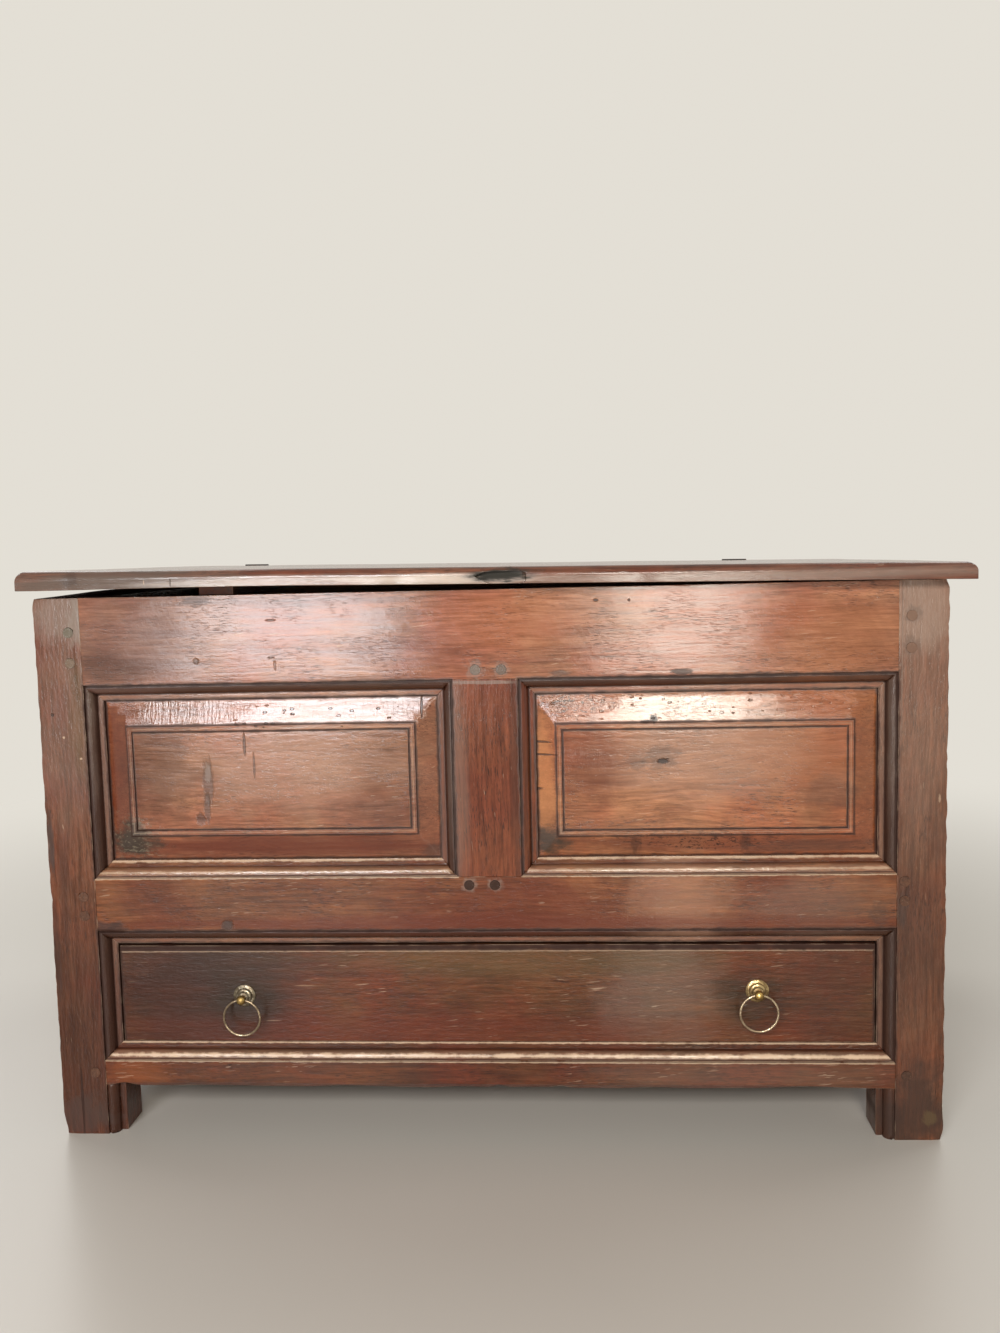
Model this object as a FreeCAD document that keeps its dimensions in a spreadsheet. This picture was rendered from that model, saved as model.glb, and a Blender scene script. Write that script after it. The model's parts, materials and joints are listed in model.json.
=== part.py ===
import FreeCAD, Part
import math
import os
import re
import Sketcher

# A small joined mule chest: a pegged oak frame with two fielded panels and one
# long drawer under a hinged one-board lid. Millimetres. Within the case, X is
# measured from its middle plane, Y from its front face towards the back and
# Z from the floor. Every object is then moved by CASE_X and CASE_Y, so that
# the origin lies on the floor under the middle of the lid.

SIZES = {
    # case
    "case_width": 700,
    "case_depth": 400,
    "stile_face": 37,
    "stile_thick": 38,
    "rail_thick": 24,
    "side_rail_thick": 20,
    # heights of the front, from the floor up, measured between mouldings
    "foot_height": 41,
    "bottom_rail_face": 21,
    "drawer_opening": 107.5,
    "middle_rail_face": 42.5,
    "panel_opening": 154.5,
    "top_rail_face": 68.5,
    "muntin_face": 50.5,
    "muntin_shift": 2.3,
    # moulding worked on the edges of the front frame
    "quirk_width": 1.6,
    "quirk_depth": 2.2,
    "ovolo_sink": 0.8,
    "ovolo_radius": 6.2,
    "fillet_step": 1.0,
    "fillet_width": 5.0,
    "lip_wall": 1.0,
    # joints
    "tenon_inset": 11,
    "tenon_thick": 8,
    "tenon_length": 36,
    "tenon_shoulder": 9,
    "tenon_wall": 2,
    "muntin_tenon": 30,
    "mortise_room": 1,
    "groove_inset": 11,
    "groove_width": 6,
    "groove_depth": 7,
    "peg_radius": 4.0,
    "peg_play": 0.1,
    "peg_proud": 0.4,
    "peg_past_tenon": 1,
    # peg places: outwards from the shoulder, and up from the rail's lower edge
    "top_peg_out": 9.3,
    "top_peg_low": 18,
    "top_peg_high": 42,
    "left_middle_peg_out": 9.9,
    "left_middle_peg_low": 12.5,
    "left_middle_peg_high": 28,
    "right_middle_peg_out": 6,
    "right_middle_peg_low": 21.3,
    "right_middle_peg_high": 36.5,
    "bottom_peg_out": 8.5,
    "bottom_peg_up": 11,
    "muntin_peg_space": 20,
    "upper_muntin_peg_shift": 2.8,
    "upper_muntin_peg_up": 7.2,
    "lower_muntin_peg_shift": -6.0,
    "lower_muntin_peg_down": 6.7,
    # panels
    "panel_play": 0.2,
    "panel_room": 1,
    "panel_face": 4,
    "field_shoulder": 1.3,
    "bevel_side": 18.5,
    "bevel_top": 19.5,
    "bevel_bottom": 22.5,
    "bead_width": 6.5,
    "bead_groove": 1.3,
    "bead_round": 0.9,
    "plain_panel_back": 3,
    "feather_width": 16,
    # floor of the chest
    "floor_drop": 16,
    "floor_thick": 10,
    "floor_play": 0.5,
    "ledger_thick": 16,
    "ledger_height": 20,
    # drawer supports
    "runner_width": 38,
    "runner_height": 22,
    "runner_stub": 6,
    "runner_stub_inset": 2,
    "guide_width": 14,
    "guide_height": 18,
    # drawer
    "drawer_recess": 9,
    "drawer_front_thick": 19,
    "drawer_side_play": 0.9,
    "drawer_base_play": 0.3,
    "drawer_top_play": 2.4,
    "drawer_lap": 10,
    "drawer_side_thick": 12,
    "drawer_side_drop": 3,
    "drawer_rear_room": 6,
    "drawer_back_thick": 12,
    "drawer_back_inset": 4,
    "drawer_bottom_thick": 6.5,
    "drawer_bottom_up": 6,
    "drawer_groove_depth": 6,
    # ring pulls: in from the drawer's end, and up from its lower edge
    "left_pull_in": 100.8,
    "left_pull_rise": 37.9,
    "right_pull_in": 90.3,
    "right_pull_rise": 41.9,
    "rose_radius": 9,
    "rose_height": 6.2,
    "rose_neck_radius": 4.3,
    "pull_stand": 10.5,
    "pull_ball_radius": 3.7,
    "pull_shank_radius": 1.8,
    "pull_clench": 10,
    "ring_outer_radius": 15.5,
    "ring_wire_radius": 0.95,
    "ring_bore_radius": 1.65,
    # lid
    "lid_thick": 12.6,
    "lid_front_overhang": 16,
    "lid_back_overhang": 14,
    "lid_left_overhang": 5.1,
    "lid_right_overhang": 14.6,
    "lid_nosing": 7.2,
    "lid_rest_play": 0.2,
    "batten_thick": 7,
    "batten_width": 27,
    "batten_in": 130.5,
    "batten_end_inset": 8,
    "batten_play": 4,
    "scoop_from_middle": 17,
    "scoop_width": 39,
    "scoop_depth": 5,
    # hinges, in from the ends of the case
    "left_hinge_in": 67,
    "right_hinge_in": 103,
    "hinge_stand": 5.5,
    "hinge_drop": 9,
    "staple_radius": 1.5,
    "staple_width": 12,
    "staple_bend": 3,
    "staple_leg": 26,
    "eye_wire_radius": 1.3,
    "eye_shank_radius": 1.7,
    "eye_play": 0.5,
    "eye_clench": 13,
    # nails
    "nail_radius": 1.2,
    "nail_length": 26,
    "nail_head_radius": 2.4,
    "nail_head_thick": 1.0,
    "batten_nail_length": 15,
    "nail_end_space": 16,
}

# How far a cutter runs past the wood, so that no skin is left.
OVERRUN = "2"

HALF = "(case_width / 2)"
CASE_X = "((lid_left_overhang - lid_right_overhang) / 2)"
CASE_Y = "(lid_front_overhang - (lid_front_overhang + case_depth + lid_back_overhang) / 2)"

# The moulding runs from its arris to the inner edge of the wood.
MOULDING = "(quirk_width + ovolo_radius + fillet_width)"
MOULDING_DEPTH = "(ovolo_sink + ovolo_radius + fillet_step)"
LIP = f"({MOULDING_DEPTH} + lip_wall)"
ARRIS = f"({HALF} - stile_face)"
INNER = f"({ARRIS} - {MOULDING})"

# Heights of the arrises, then the full edges of the three rails.
DRAWER_ARRIS = "(foot_height + bottom_rail_face)"
MIDDLE_ARRIS = f"({DRAWER_ARRIS} + drawer_opening)"
PANEL_ARRIS = f"({MIDDLE_ARRIS} + middle_rail_face)"
TOP_ARRIS = f"({PANEL_ARRIS} + panel_opening)"
CASE_TOP = f"({TOP_ARRIS} + top_rail_face)"
RUN = f"({DRAWER_ARRIS} + {MOULDING})"
RAILS = {
    "bottom": ("foot_height", RUN),
    "middle": (f"({MIDDLE_ARRIS} - {MOULDING})", f"({PANEL_ARRIS} + {MOULDING})"),
    "top": (f"({TOP_ARRIS} - {MOULDING})", CASE_TOP),
}
LOWER_OPENING = (RUN, RAILS["middle"][0])
UPPER_OPENING = (RAILS["middle"][1], RAILS["top"][0])

TENON_LAYER = ("tenon_inset", "tenon_inset + tenon_thick")
GROOVE_LAYER = ("groove_inset", "groove_inset + groove_width")
SIDE_TENON = "(stile_thick - tenon_inset - tenon_thick - tenon_wall)"
PEG_LENGTH = "(tenon_inset + tenon_thick + peg_past_tenon)"
PEG_HOLE = "peg_radius + peg_play"

# Muntin: faces and full edges, from left to right.
MUNTIN_LEFT = "(muntin_shift - muntin_face / 2)"
MUNTIN_RIGHT = "(muntin_shift + muntin_face / 2)"
MUNTIN_LEFT_EDGE = f"({MUNTIN_LEFT} - {MOULDING})"
MUNTIN_RIGHT_EDGE = f"({MUNTIN_RIGHT} + {MOULDING})"

VIEWS = {"front": "XZ_Plane", "plan": "XY_Plane", "side": "YZ_Plane"}
SIDES = {"left": -1, "right": 1}

doc = FreeCAD.newDocument("MuleChest")
sheet = doc.addObject("Spreadsheet::Sheet", "Sizes")
for row, (alias, number) in enumerate(SIZES.items(), start=1):
    sheet.set(f"A{row}", alias)
    sheet.set(f"B{row}", str(number))
    sheet.setAlias(f"B{row}", alias)
doc.recompute()
nodes = []


# ---------------------------------------------------------------- formulas

def expression(formula):
    """The formula as an expression on the sheet's cells."""
    return re.sub(r"[a-z_]+", lambda word: cell_name(word.group()), formula)


def cell_name(word):
    return f"Sizes.{word}" if word in SIZES else word


def value(formula):
    """The formula's number, where it holds sizes and plain arithmetic only."""
    plain = re.sub(r"[a-z_]+", lambda word: f"({SIZES[word.group()]})", formula)
    return float(FreeCAD.Units.Quantity(plain).Value)


def flank(side, out):
    """X of a plane that lies `out` from the middle, on the left or the right."""
    return f"{SIDES[side]} * ({out})"


def at(face, depth):
    """Where a layer `depth` below one of the case's four faces lies."""
    return {
        "front": f"({depth})",
        "back": f"(case_depth - ({depth}))",
        "left": f"(({depth}) - {HALF})",
        "right": f"({HALF} - ({depth}))",
    }[face]


def layer(face, near, far):
    """The two ends of a layer, low one first."""
    ends = at(face, near), at(face, far)
    return ends if face in ("front", "left") else ends[::-1]


def view_of(face):
    return "front" if face in ("front", "back") else "side"


def rectangle(u_start, u_end, v_start, v_end):
    return [(u_start, v_start), (u_end, v_start), (u_end, v_end), (u_start, v_end)]


# ---------------------------------------------------------------- sub-parts and sketches

def bind(target, **formulas):
    """Bind properties to the sheet; a double underscore stands for a dot."""
    for name, formula in formulas.items():
        target.setExpression(name.replace("__", "."), expression(formula))


def place(target, x="0", y="0", z="0"):
    """Move an object that is drawn in the case's own measures."""
    bind(target, Placement__Base__x=f"{CASE_X} + {x}", Placement__Base__y=f"{CASE_Y} + {y}",
         Placement__Base__z=z)


def tilt(target):
    """Turn an object with the lid, which its left batten props up."""
    target.Placement = FreeCAD.Placement(FreeCAD.Vector(), FreeCAD.Rotation(FreeCAD.Vector(0, 1, 0), 1))
    bind(target, Placement__Rotation__Angle=LID_TILT)


def new_body(label):
    body = doc.addObject("PartDesign::Body", label)
    body.Label = label
    nodes.append(body)
    return body


def case_body(label):
    body = new_body(label)
    place(body)
    return body


def origin_plane(body, view):
    return next(plane for plane in body.Origin.OriginFeatures if plane.Role == VIEWS[view])


def attach(feature, body, view, level, u="0", v="0"):
    """Put a feature on the body's own plane, moved to `level` along the axis."""
    feature.AttachmentSupport = [(origin_plane(body, view), "")]
    feature.MapMode = "FlatFace"
    sign = -1 if view == "front" else 1
    bind(feature, AttachmentOffset__Base__x=u, AttachmentOffset__Base__y=v,
         AttachmentOffset__Base__z=f"{sign} * ({level})")


def new_sketch(body, name, view, level):
    sketch = body.newObject("Sketcher::SketchObject", name)
    attach(sketch, body, view, level)
    return sketch


def hold(sketch, kind, shape, point, formula):
    """Hold a point of a sketch at a distance from the sketch's origin."""
    index = sketch.addConstraint(Sketcher.Constraint(kind, -1, 1, shape, point, value(formula)))
    sketch.setExpression(f"Constraints[{index}]", expression(formula))


def arc_between(start, end, centre):
    """The short arc between two points, and whether it runs from start to end."""
    turn_start = math.atan2(start.y - centre.y, start.x - centre.x)
    turn_end = math.atan2(end.y - centre.y, end.x - centre.x)
    circle = Part.Circle(centre, FreeCAD.Vector(0, 0, 1), (start - centre).Length)
    if (turn_end - turn_start) % (2 * math.pi) < math.pi:
        return Part.ArcOfCircle(circle, turn_start, turn_end), True
    return Part.ArcOfCircle(circle, turn_end, turn_start), False


def draw(sketch, corners, arcs=None, closed=True):
    """Lines through the corners. `arcs` gives the centre of each quarter
    circle by the number of the corner where it starts; one coordinate of its
    far end then follows from the circle."""
    arcs = arcs or {}
    points = [FreeCAD.Vector(value(u), value(v), 0) for u, v in corners]
    edges = []
    for number, start in enumerate(points if closed else points[:-1]):
        end = points[(number + 1) % len(points)]
        forward = True
        shape = Part.LineSegment(start, end)
        if number in arcs:
            centre = FreeCAD.Vector(value(arcs[number][0]), value(arcs[number][1]), 0)
            shape, forward = arc_between(start, end, centre)
        edges.append((sketch.addGeometry(shape), 1 if forward else 2))
    for number, (edge, first) in enumerate(edges):
        follower = number + 1
        if follower < len(edges) or closed:
            next_edge, next_first = edges[follower % len(edges)]
            sketch.addConstraint(Sketcher.Constraint("Coincident", edge, 3 - first, next_edge, next_first))
    for number, (u, v) in enumerate(corners):
        ends_path = number == len(edges)
        edge, first = edges[number - 1] if ends_path else edges[number]
        point = 3 - first if ends_path else first
        loose = loose_coordinate(points, arcs, number - 1)
        if loose != "x":
            hold(sketch, "DistanceX", edge, point, u)
        if loose != "y":
            hold(sketch, "DistanceY", edge, point, v)
    for number, centre in arcs.items():
        hold(sketch, "DistanceX", edges[number][0], 3, centre[0])
        hold(sketch, "DistanceY", edges[number][0], 3, centre[1])


def loose_coordinate(points, arcs, number):
    """Which coordinate the far end of quarter circle `number` leaves to it."""
    if number not in arcs:
        return None
    end = points[(number + 1) % len(points)]
    across = abs(end.x - value(arcs[number][0])) > abs(end.y - value(arcs[number][1]))
    return "x" if across else "y"


def draw_circle(sketch, u, v, radius):
    centre = FreeCAD.Vector(value(u), value(v), 0)
    circle = sketch.addGeometry(Part.Circle(centre, FreeCAD.Vector(0, 0, 1), value(radius)))
    hold(sketch, "DistanceX", circle, 3, u)
    hold(sketch, "DistanceY", circle, 3, v)
    index = sketch.addConstraint(Sketcher.Constraint("Radius", circle, value(radius)))
    sketch.setExpression(f"Constraints[{index}]", expression(radius))


def prism(body, name, view, ends, loops=(), circles=(), cut=False, arcs=None):
    """Pad the outlines between two levels along the view's axis, or cut them.
    A sketch seen from the front faces -Y, so it pads from its high end."""
    starts_low = (view != "front") != cut
    low, high = ends
    sketch = new_sketch(body, f"{name}_outline", view, low if starts_low else high)
    for corners in loops:
        draw(sketch, corners, arcs)
    for u, v, radius in circles:
        draw_circle(sketch, u, v, radius)
    feature = body.newObject("PartDesign::Pocket" if cut else "PartDesign::Pad", name)
    feature.Profile = sketch
    bind(feature, Length=f"{high} - ({low})")
    return feature


def carve(body, name, view, ends, loops=(), circles=(), arcs=None):
    return prism(body, name, view, ends, loops, circles, True, arcs)


def round_edges(body, name, radius, chosen):
    """Fillet those edges of the body so far for which chosen(edge) is true."""
    doc.recompute()
    tip = body.Tip
    picked = [f"Edge{number}" for number, edge in enumerate(tip.Shape.Edges, start=1) if chosen(edge)]
    feature = body.newObject("PartDesign::Fillet", name)
    feature.Base = (tip, picked)
    bind(feature, Radius=radius)


def rod(body, name, view, low, length, radius, u="0", v="0", cut=False):
    """A round bar along the view's axis, added or bored out."""
    kind = "PartDesign::SubtractiveCylinder" if cut else "PartDesign::AdditiveCylinder"
    bar = body.newObject(kind, name)
    attach(bar, body, view, f"{low} + {length}" if view == "front" else low, u, v)
    bind(bar, Radius=radius, Height=length)


# ---------------------------------------------------------------- moulding

def moulding_waste(arris, inward):
    """What the moulding plane takes off an edge, as (across, deep) corners:
    a quirk, a quarter-round and a sunk fillet. `inward` is the sign of the
    way from the arris to the inner edge of the wood."""
    def across(distance):
        return f"{arris} + {inward} * ({distance})"
    round_end = "quirk_width + ovolo_radius"
    corners = [
        (across("0"), f"0 - {OVERRUN}"),
        (across("0"), "quirk_depth"),
        (across("quirk_width"), "quirk_depth"),
        (across("quirk_width"), "ovolo_sink"),
        (across(round_end), "ovolo_sink + ovolo_radius"),
        (across(round_end), MOULDING_DEPTH),
        (across(f"{MOULDING} + {OVERRUN}"), MOULDING_DEPTH),
        (across(f"{MOULDING} + {OVERRUN}"), f"0 - {OVERRUN}"),
    ]
    return corners, {3: (across("quirk_width"), "ovolo_sink + ovolo_radius")}


def plane_upright(body, name, arris, inward, ends):
    """Run the moulding plane along an upright edge of the front."""
    corners, arcs = moulding_waste(arris, inward)
    carve(body, name, "plan", ends, [corners], arcs=arcs)


def plane_level(body, name, arris, inward):
    """Run the moulding plane along a level edge of the front."""
    corners, arcs = moulding_waste(arris, inward)
    turned = [(deep, across) for across, deep in corners]
    turned_arcs = {number: (deep, across) for number, (across, deep) in arcs.items()}
    carve(body, name, "side", (f"0 - {ARRIS}", ARRIS), [turned], arcs=turned_arcs)


# ---------------------------------------------------------------- peg places

def front_pegs(side):
    """Centres of the pegs in a front stile, as (x, z)."""
    return [
        (flank(side, f"{ARRIS} + top_peg_out"), f"{TOP_ARRIS} + top_peg_low"),
        (flank(side, f"{ARRIS} + top_peg_out"), f"{TOP_ARRIS} + top_peg_high"),
        (flank(side, f"{ARRIS} + {side}_middle_peg_out"), f"{MIDDLE_ARRIS} + {side}_middle_peg_low"),
        (flank(side, f"{ARRIS} + {side}_middle_peg_out"), f"{MIDDLE_ARRIS} + {side}_middle_peg_high"),
        (flank(side, f"{ARRIS} + bottom_peg_out"), "foot_height + bottom_peg_up"),
    ]


def back_pegs(side):
    """Centres of the pegs in a rear stile, one in the middle of each tenon."""
    return [(flank(side, f"{ARRIS} + top_peg_out"), f"({low} + {high}) / 2") for low, high in RAILS.values()]


def side_pegs(face):
    """Centres of the pegs in the side of a front or rear stile, as (y, z)."""
    y = at(face, f"stile_thick - {SIDE_TENON} / 2")
    return [(y, f"({low} + {high}) / 2") for low, high in RAILS.values()]


def upper_muntin_pegs():
    middle = "muntin_shift + upper_muntin_peg_shift"
    height = f"{TOP_ARRIS} + upper_muntin_peg_up"
    return [(f"{middle} - muntin_peg_space / 2", height), (f"{middle} + muntin_peg_space / 2", height)]


def lower_muntin_pegs():
    middle = "muntin_shift + lower_muntin_peg_shift"
    height = f"{PANEL_ARRIS} - lower_muntin_peg_down"
    return [(f"{middle} - muntin_peg_space / 2", height), (f"{middle} + muntin_peg_space / 2", height)]


def bore_pegs(body, name, face, centres):
    circles = [(u, v, PEG_HOLE) for u, v in centres]
    ends = layer(face, f"0 - {OVERRUN}", PEG_LENGTH)
    carve(body, name, view_of(face), ends, circles=circles)


# ---------------------------------------------------------------- stiles

def lip_outline(side, rail):
    """Face of a front rail where it laps over the stile's moulding."""
    low, high = RAILS[rail]
    low_arris = {"bottom": low, "middle": MIDDLE_ARRIS, "top": TOP_ARRIS}[rail]
    high_arris = {"bottom": DRAWER_ARRIS, "middle": PANEL_ARRIS, "top": high}[rail]
    return [
        (flank(side, INNER), low),
        (flank(side, ARRIS), low_arris),
        (flank(side, ARRIS), high_arris),
        (flank(side, INNER), high),
    ]


def tenon_heights(rail):
    low, high = RAILS[rail]
    return f"{low} + tenon_shoulder", f"{high} - tenon_shoulder"


def mortises(start, end):
    return [rectangle(start, end, *tenon_heights(rail)) for rail in RAILS]


def groove_heights(opening):
    low, high = opening
    return f"{low} - groove_depth", f"{high} + groove_depth"


def stile(end, side):
    """A corner post that runs down as a foot. `end` is front or back."""
    body = case_body(f"{'front' if end == 'front' else 'rear'}_{side}_stile")
    post = rectangle(flank(side, INNER), flank(side, HALF), at(end, "0"), at(end, "stile_thick"))
    prism(body, f"{body.Label}_post", "plan", ("0", CASE_TOP), [post])
    openings = [UPPER_OPENING] if end == "front" else [UPPER_OPENING, LOWER_OPENING]
    if end == "front":
        lips = [lip_outline(side, rail) for rail in RAILS]
        carve(body, f"{body.Label}_rail_seats", "front", ("0", LIP), lips)
        plane_upright(body, f"{body.Label}_moulding", flank(side, ARRIS), -SIDES[side], ("0", CASE_TOP))
    grooves = [rectangle(flank(side, INNER), flank(side, f"{INNER} + groove_depth"), *groove_heights(opening))
               for opening in openings]
    carve(body, f"{body.Label}_panel_groove", "front", layer(end, *GROOVE_LAYER), grooves)
    slots = mortises(flank(side, INNER), flank(side, f"{INNER} + tenon_length + mortise_room"))
    carve(body, f"{body.Label}_mortises", "front", layer(end, *TENON_LAYER), slots)
    back_edge = at(end, "stile_thick")
    slots = mortises(at(end, f"stile_thick - {SIDE_TENON} - mortise_room"), back_edge)
    carve(body, f"{body.Label}_side_mortises", "side", layer(side, *TENON_LAYER), slots)
    grooves = [rectangle(at(end, "stile_thick - groove_depth"), back_edge, *groove_heights(opening))
               for opening in (UPPER_OPENING, LOWER_OPENING)]
    carve(body, f"{body.Label}_side_groove", "side", layer(side, *GROOVE_LAYER), grooves)
    centres = front_pegs(side) if end == "front" else back_pegs(side)
    bore_pegs(body, f"{body.Label}_peg_holes", end, centres)
    bore_pegs(body, f"{body.Label}_side_peg_holes", side, side_pegs(end))


# ---------------------------------------------------------------- rails

def grooved_edges(rail, lower_open):
    """Heights of the panel grooves in a rail's edges. The front's lower
    opening holds the drawer, so no groove is run there."""
    low, high = RAILS[rail]
    slots = []
    if rail == "top" or (rail == "middle" and lower_open):
        slots.append((low, f"{low} + groove_depth"))
    if rail == "middle" or (rail == "bottom" and lower_open):
        slots.append((f"{high} - groove_depth", high))
    return slots


def cross_rail(end, rail):
    """A rail of the front or the back, tenoned into both stiles."""
    body = case_body(f"{end}_{rail}_rail")
    low, high = RAILS[rail]
    blank = rectangle(f"0 - {INNER}", INNER, low, high)
    prism(body, f"{body.Label}_blank", "front", layer(end, "0", "rail_thick"), [blank])
    tongues = [rectangle(flank(side, INNER), flank(side, f"{INNER} + tenon_length"), *tenon_heights(rail))
               for side in SIDES]
    prism(body, f"{body.Label}_tenons", "front", layer(end, *TENON_LAYER), tongues)
    if end == "front":
        prism(body, f"{body.Label}_lips", "front", ("0", LIP), [lip_outline(side, rail) for side in SIDES])
    slots = [rectangle(f"0 - {INNER}", INNER, *heights) for heights in grooved_edges(rail, end == "back")]
    if slots:
        carve(body, f"{body.Label}_groove", "front", layer(end, *GROOVE_LAYER), slots)
    if rail != "bottom":
        seat_muntin(body, end, rail)
    else:
        seat_runners(body, end)
    if end == "front":
        mould_rail(body, rail)
    bore_pegs(body, f"{body.Label}_peg_holes", end, rail_pegs(rail, end))


def rail_pegs(rail, end):
    """The pegs of one rail, out of those of both stiles."""
    stile_pegs = front_pegs if end == "front" else back_pegs
    order = {"front": {"top": (0, 1), "middle": (2, 3), "bottom": (4,)},
             "back": {"bottom": (0,), "middle": (1,), "top": (2,)}}[end][rail]
    own = [stile_pegs(side)[number] for side in SIDES for number in order]
    if rail == "top":
        own += upper_muntin_pegs()
    if rail == "middle":
        own += lower_muntin_pegs()
    return own


def mould_rail(body, rail):
    if rail in ("bottom", "middle"):
        arris = DRAWER_ARRIS if rail == "bottom" else PANEL_ARRIS
        plane_level(body, f"{body.Label}_upper_moulding", arris, 1)
    if rail in ("middle", "top"):
        arris = MIDDLE_ARRIS if rail == "middle" else TOP_ARRIS
        plane_level(body, f"{body.Label}_lower_moulding", arris, -1)


def muntin_lip(rail):
    """Face of the front muntin where it laps over a rail's moulding."""
    edge, arris = (UPPER_OPENING[1], TOP_ARRIS) if rail == "top" else (UPPER_OPENING[0], PANEL_ARRIS)
    return [(MUNTIN_LEFT_EDGE, edge), (MUNTIN_LEFT, arris), (MUNTIN_RIGHT, arris), (MUNTIN_RIGHT_EDGE, edge)]


def seat_muntin(body, end, rail):
    """Mortise for the muntin, and its lip's seat, in the edge of a rail."""
    if end == "front":
        carve(body, f"{body.Label}_muntin_seat", "front", ("0", LIP), [muntin_lip(rail)])
    edge, sign = (UPPER_OPENING[1], 1) if rail == "top" else (UPPER_OPENING[0], -1)
    slot = rectangle(MUNTIN_LEFT, MUNTIN_RIGHT, edge, f"{edge} + {sign} * (muntin_tenon + mortise_room)")
    carve(body, f"{body.Label}_muntin_mortise", "front", layer(end, *TENON_LAYER), [slot])


def runner_stub_span(side):
    """X of the runner's stub, between its inner edge and the stile."""
    return flank(side, f"{INNER} - runner_width"), flank(side, f"{INNER} - runner_stub_inset")


def seat_runners(body, end):
    housings = [rectangle(*runner_stub_span(side), f"{RUN} - runner_height", RUN) for side in SIDES]
    carve(body, f"{body.Label}_runner_housings", "front",
          layer(end, "rail_thick - runner_stub", "rail_thick"), housings)


def side_rail(side, rail):
    """A rail between the front and rear stiles."""
    body = case_body(f"{side}_{rail}_rail")
    low, high = RAILS[rail]
    shoulders = at("front", "stile_thick"), at("back", "stile_thick")
    prism(body, f"{body.Label}_blank", "side", layer(side, "0", "side_rail_thick"),
          [rectangle(*shoulders, low, high)])
    tongues = [rectangle(at(end, f"stile_thick - {SIDE_TENON}"), at(end, "stile_thick"), *tenon_heights(rail))
               for end in ("front", "back")]
    prism(body, f"{body.Label}_tenons", "side", layer(side, *TENON_LAYER), tongues)
    slots = [rectangle(*shoulders, *heights) for heights in grooved_edges(rail, True)]
    carve(body, f"{body.Label}_groove", "side", layer(side, *GROOVE_LAYER), slots)
    order = list(RAILS).index(rail)
    centres = [side_pegs(end)[order] for end in ("front", "back")]
    bore_pegs(body, f"{body.Label}_peg_holes", side, centres)


def muntin(end):
    """The upright between the two panels of the front or the back."""
    body = case_body(f"{end}_muntin")
    prism(body, f"{body.Label}_blank", "front", layer(end, "0", "rail_thick"),
          [rectangle(MUNTIN_LEFT_EDGE, MUNTIN_RIGHT_EDGE, *UPPER_OPENING)])
    low, high = UPPER_OPENING
    tongues = [rectangle(MUNTIN_LEFT, MUNTIN_RIGHT, low, f"{low} - muntin_tenon"),
               rectangle(MUNTIN_LEFT, MUNTIN_RIGHT, high, f"{high} + muntin_tenon")]
    prism(body, f"{body.Label}_tenons", "front", layer(end, *TENON_LAYER), tongues)
    if end == "front":
        prism(body, f"{body.Label}_lips", "front", ("0", LIP), [muntin_lip("top"), muntin_lip("middle")])
        ends = (PANEL_ARRIS, TOP_ARRIS)
        plane_upright(body, f"{body.Label}_left_moulding", MUNTIN_LEFT, -1, ends)
        plane_upright(body, f"{body.Label}_right_moulding", MUNTIN_RIGHT, 1, ends)
    slots = [rectangle(MUNTIN_LEFT_EDGE, f"{MUNTIN_LEFT_EDGE} + groove_depth", *UPPER_OPENING),
             rectangle(f"{MUNTIN_RIGHT_EDGE} - groove_depth", MUNTIN_RIGHT_EDGE, *UPPER_OPENING)]
    carve(body, f"{body.Label}_grooves", "front", layer(end, *GROOVE_LAYER), slots)
    bore_pegs(body, f"{body.Label}_peg_holes", end, upper_muntin_pegs() + lower_muntin_pegs())


# ---------------------------------------------------------------- panels

TONGUE = ("groove_inset + panel_play", "groove_inset + groove_width - panel_play")
REACH = "(groove_depth - panel_room)"
SHOULDER = "panel_face + field_shoulder"


def panel_blank(label, face, left, right, opening):
    """A thin board whose edges stand in the grooves round an opening."""
    body = case_body(label)
    low, high = opening
    board = rectangle(f"{left} - {REACH}", f"{right} + {REACH}", f"{low} - {REACH}", f"{high} + {REACH}")
    prism(body, f"{label}_tongue", view_of(face), layer(face, *TONGUE), [board])
    return body


def plain_panel(label, face, left, right, opening):
    """Flat outside; inside, the board is feathered down to its tongue."""
    body = panel_blank(label, face, left, right, opening)
    low, high = opening
    thick = rectangle(f"{left} + feather_width", f"{right} - feather_width",
                      f"{low} + feather_width", f"{high} - feather_width")
    inside = layer(face, TONGUE[1], f"{TONGUE[1]} + plain_panel_back")
    prism(body, f"{label}_body", view_of(face), inside, [thick])


def fielded_panel(label, face, left, right, opening, beaded):
    """A raised field inside wide bevels, edged with a bead on the front."""
    body = panel_blank(label, face, left, right, opening)
    low, high = opening
    field = (f"{left} + bevel_side", f"{right} - bevel_side", f"{low} + bevel_bottom", f"{high} - bevel_top")
    foot = new_sketch(body, f"{label}_bevel_foot", view_of(face), at(face, TONGUE[0]))
    draw(foot, rectangle(left, right, low, high))
    head = new_sketch(body, f"{label}_bevel_head", view_of(face), at(face, SHOULDER))
    draw(head, rectangle(*field))
    bevel = body.newObject("PartDesign::AdditiveLoft", f"{label}_bevel")
    bevel.Profile = foot
    bevel.Sections = [head]
    bevel.Ruled = True
    prism(body, f"{label}_field", view_of(face), layer(face, "panel_face", SHOULDER), [rectangle(*field)])
    if beaded:
        bead_field(body, face, field)


def inset(field, distance):
    left, right, low, high = field
    return rectangle(f"{left} + {distance}", f"{right} - ({distance})",
                     f"{low} + {distance}", f"{high} - ({distance})")


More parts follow.
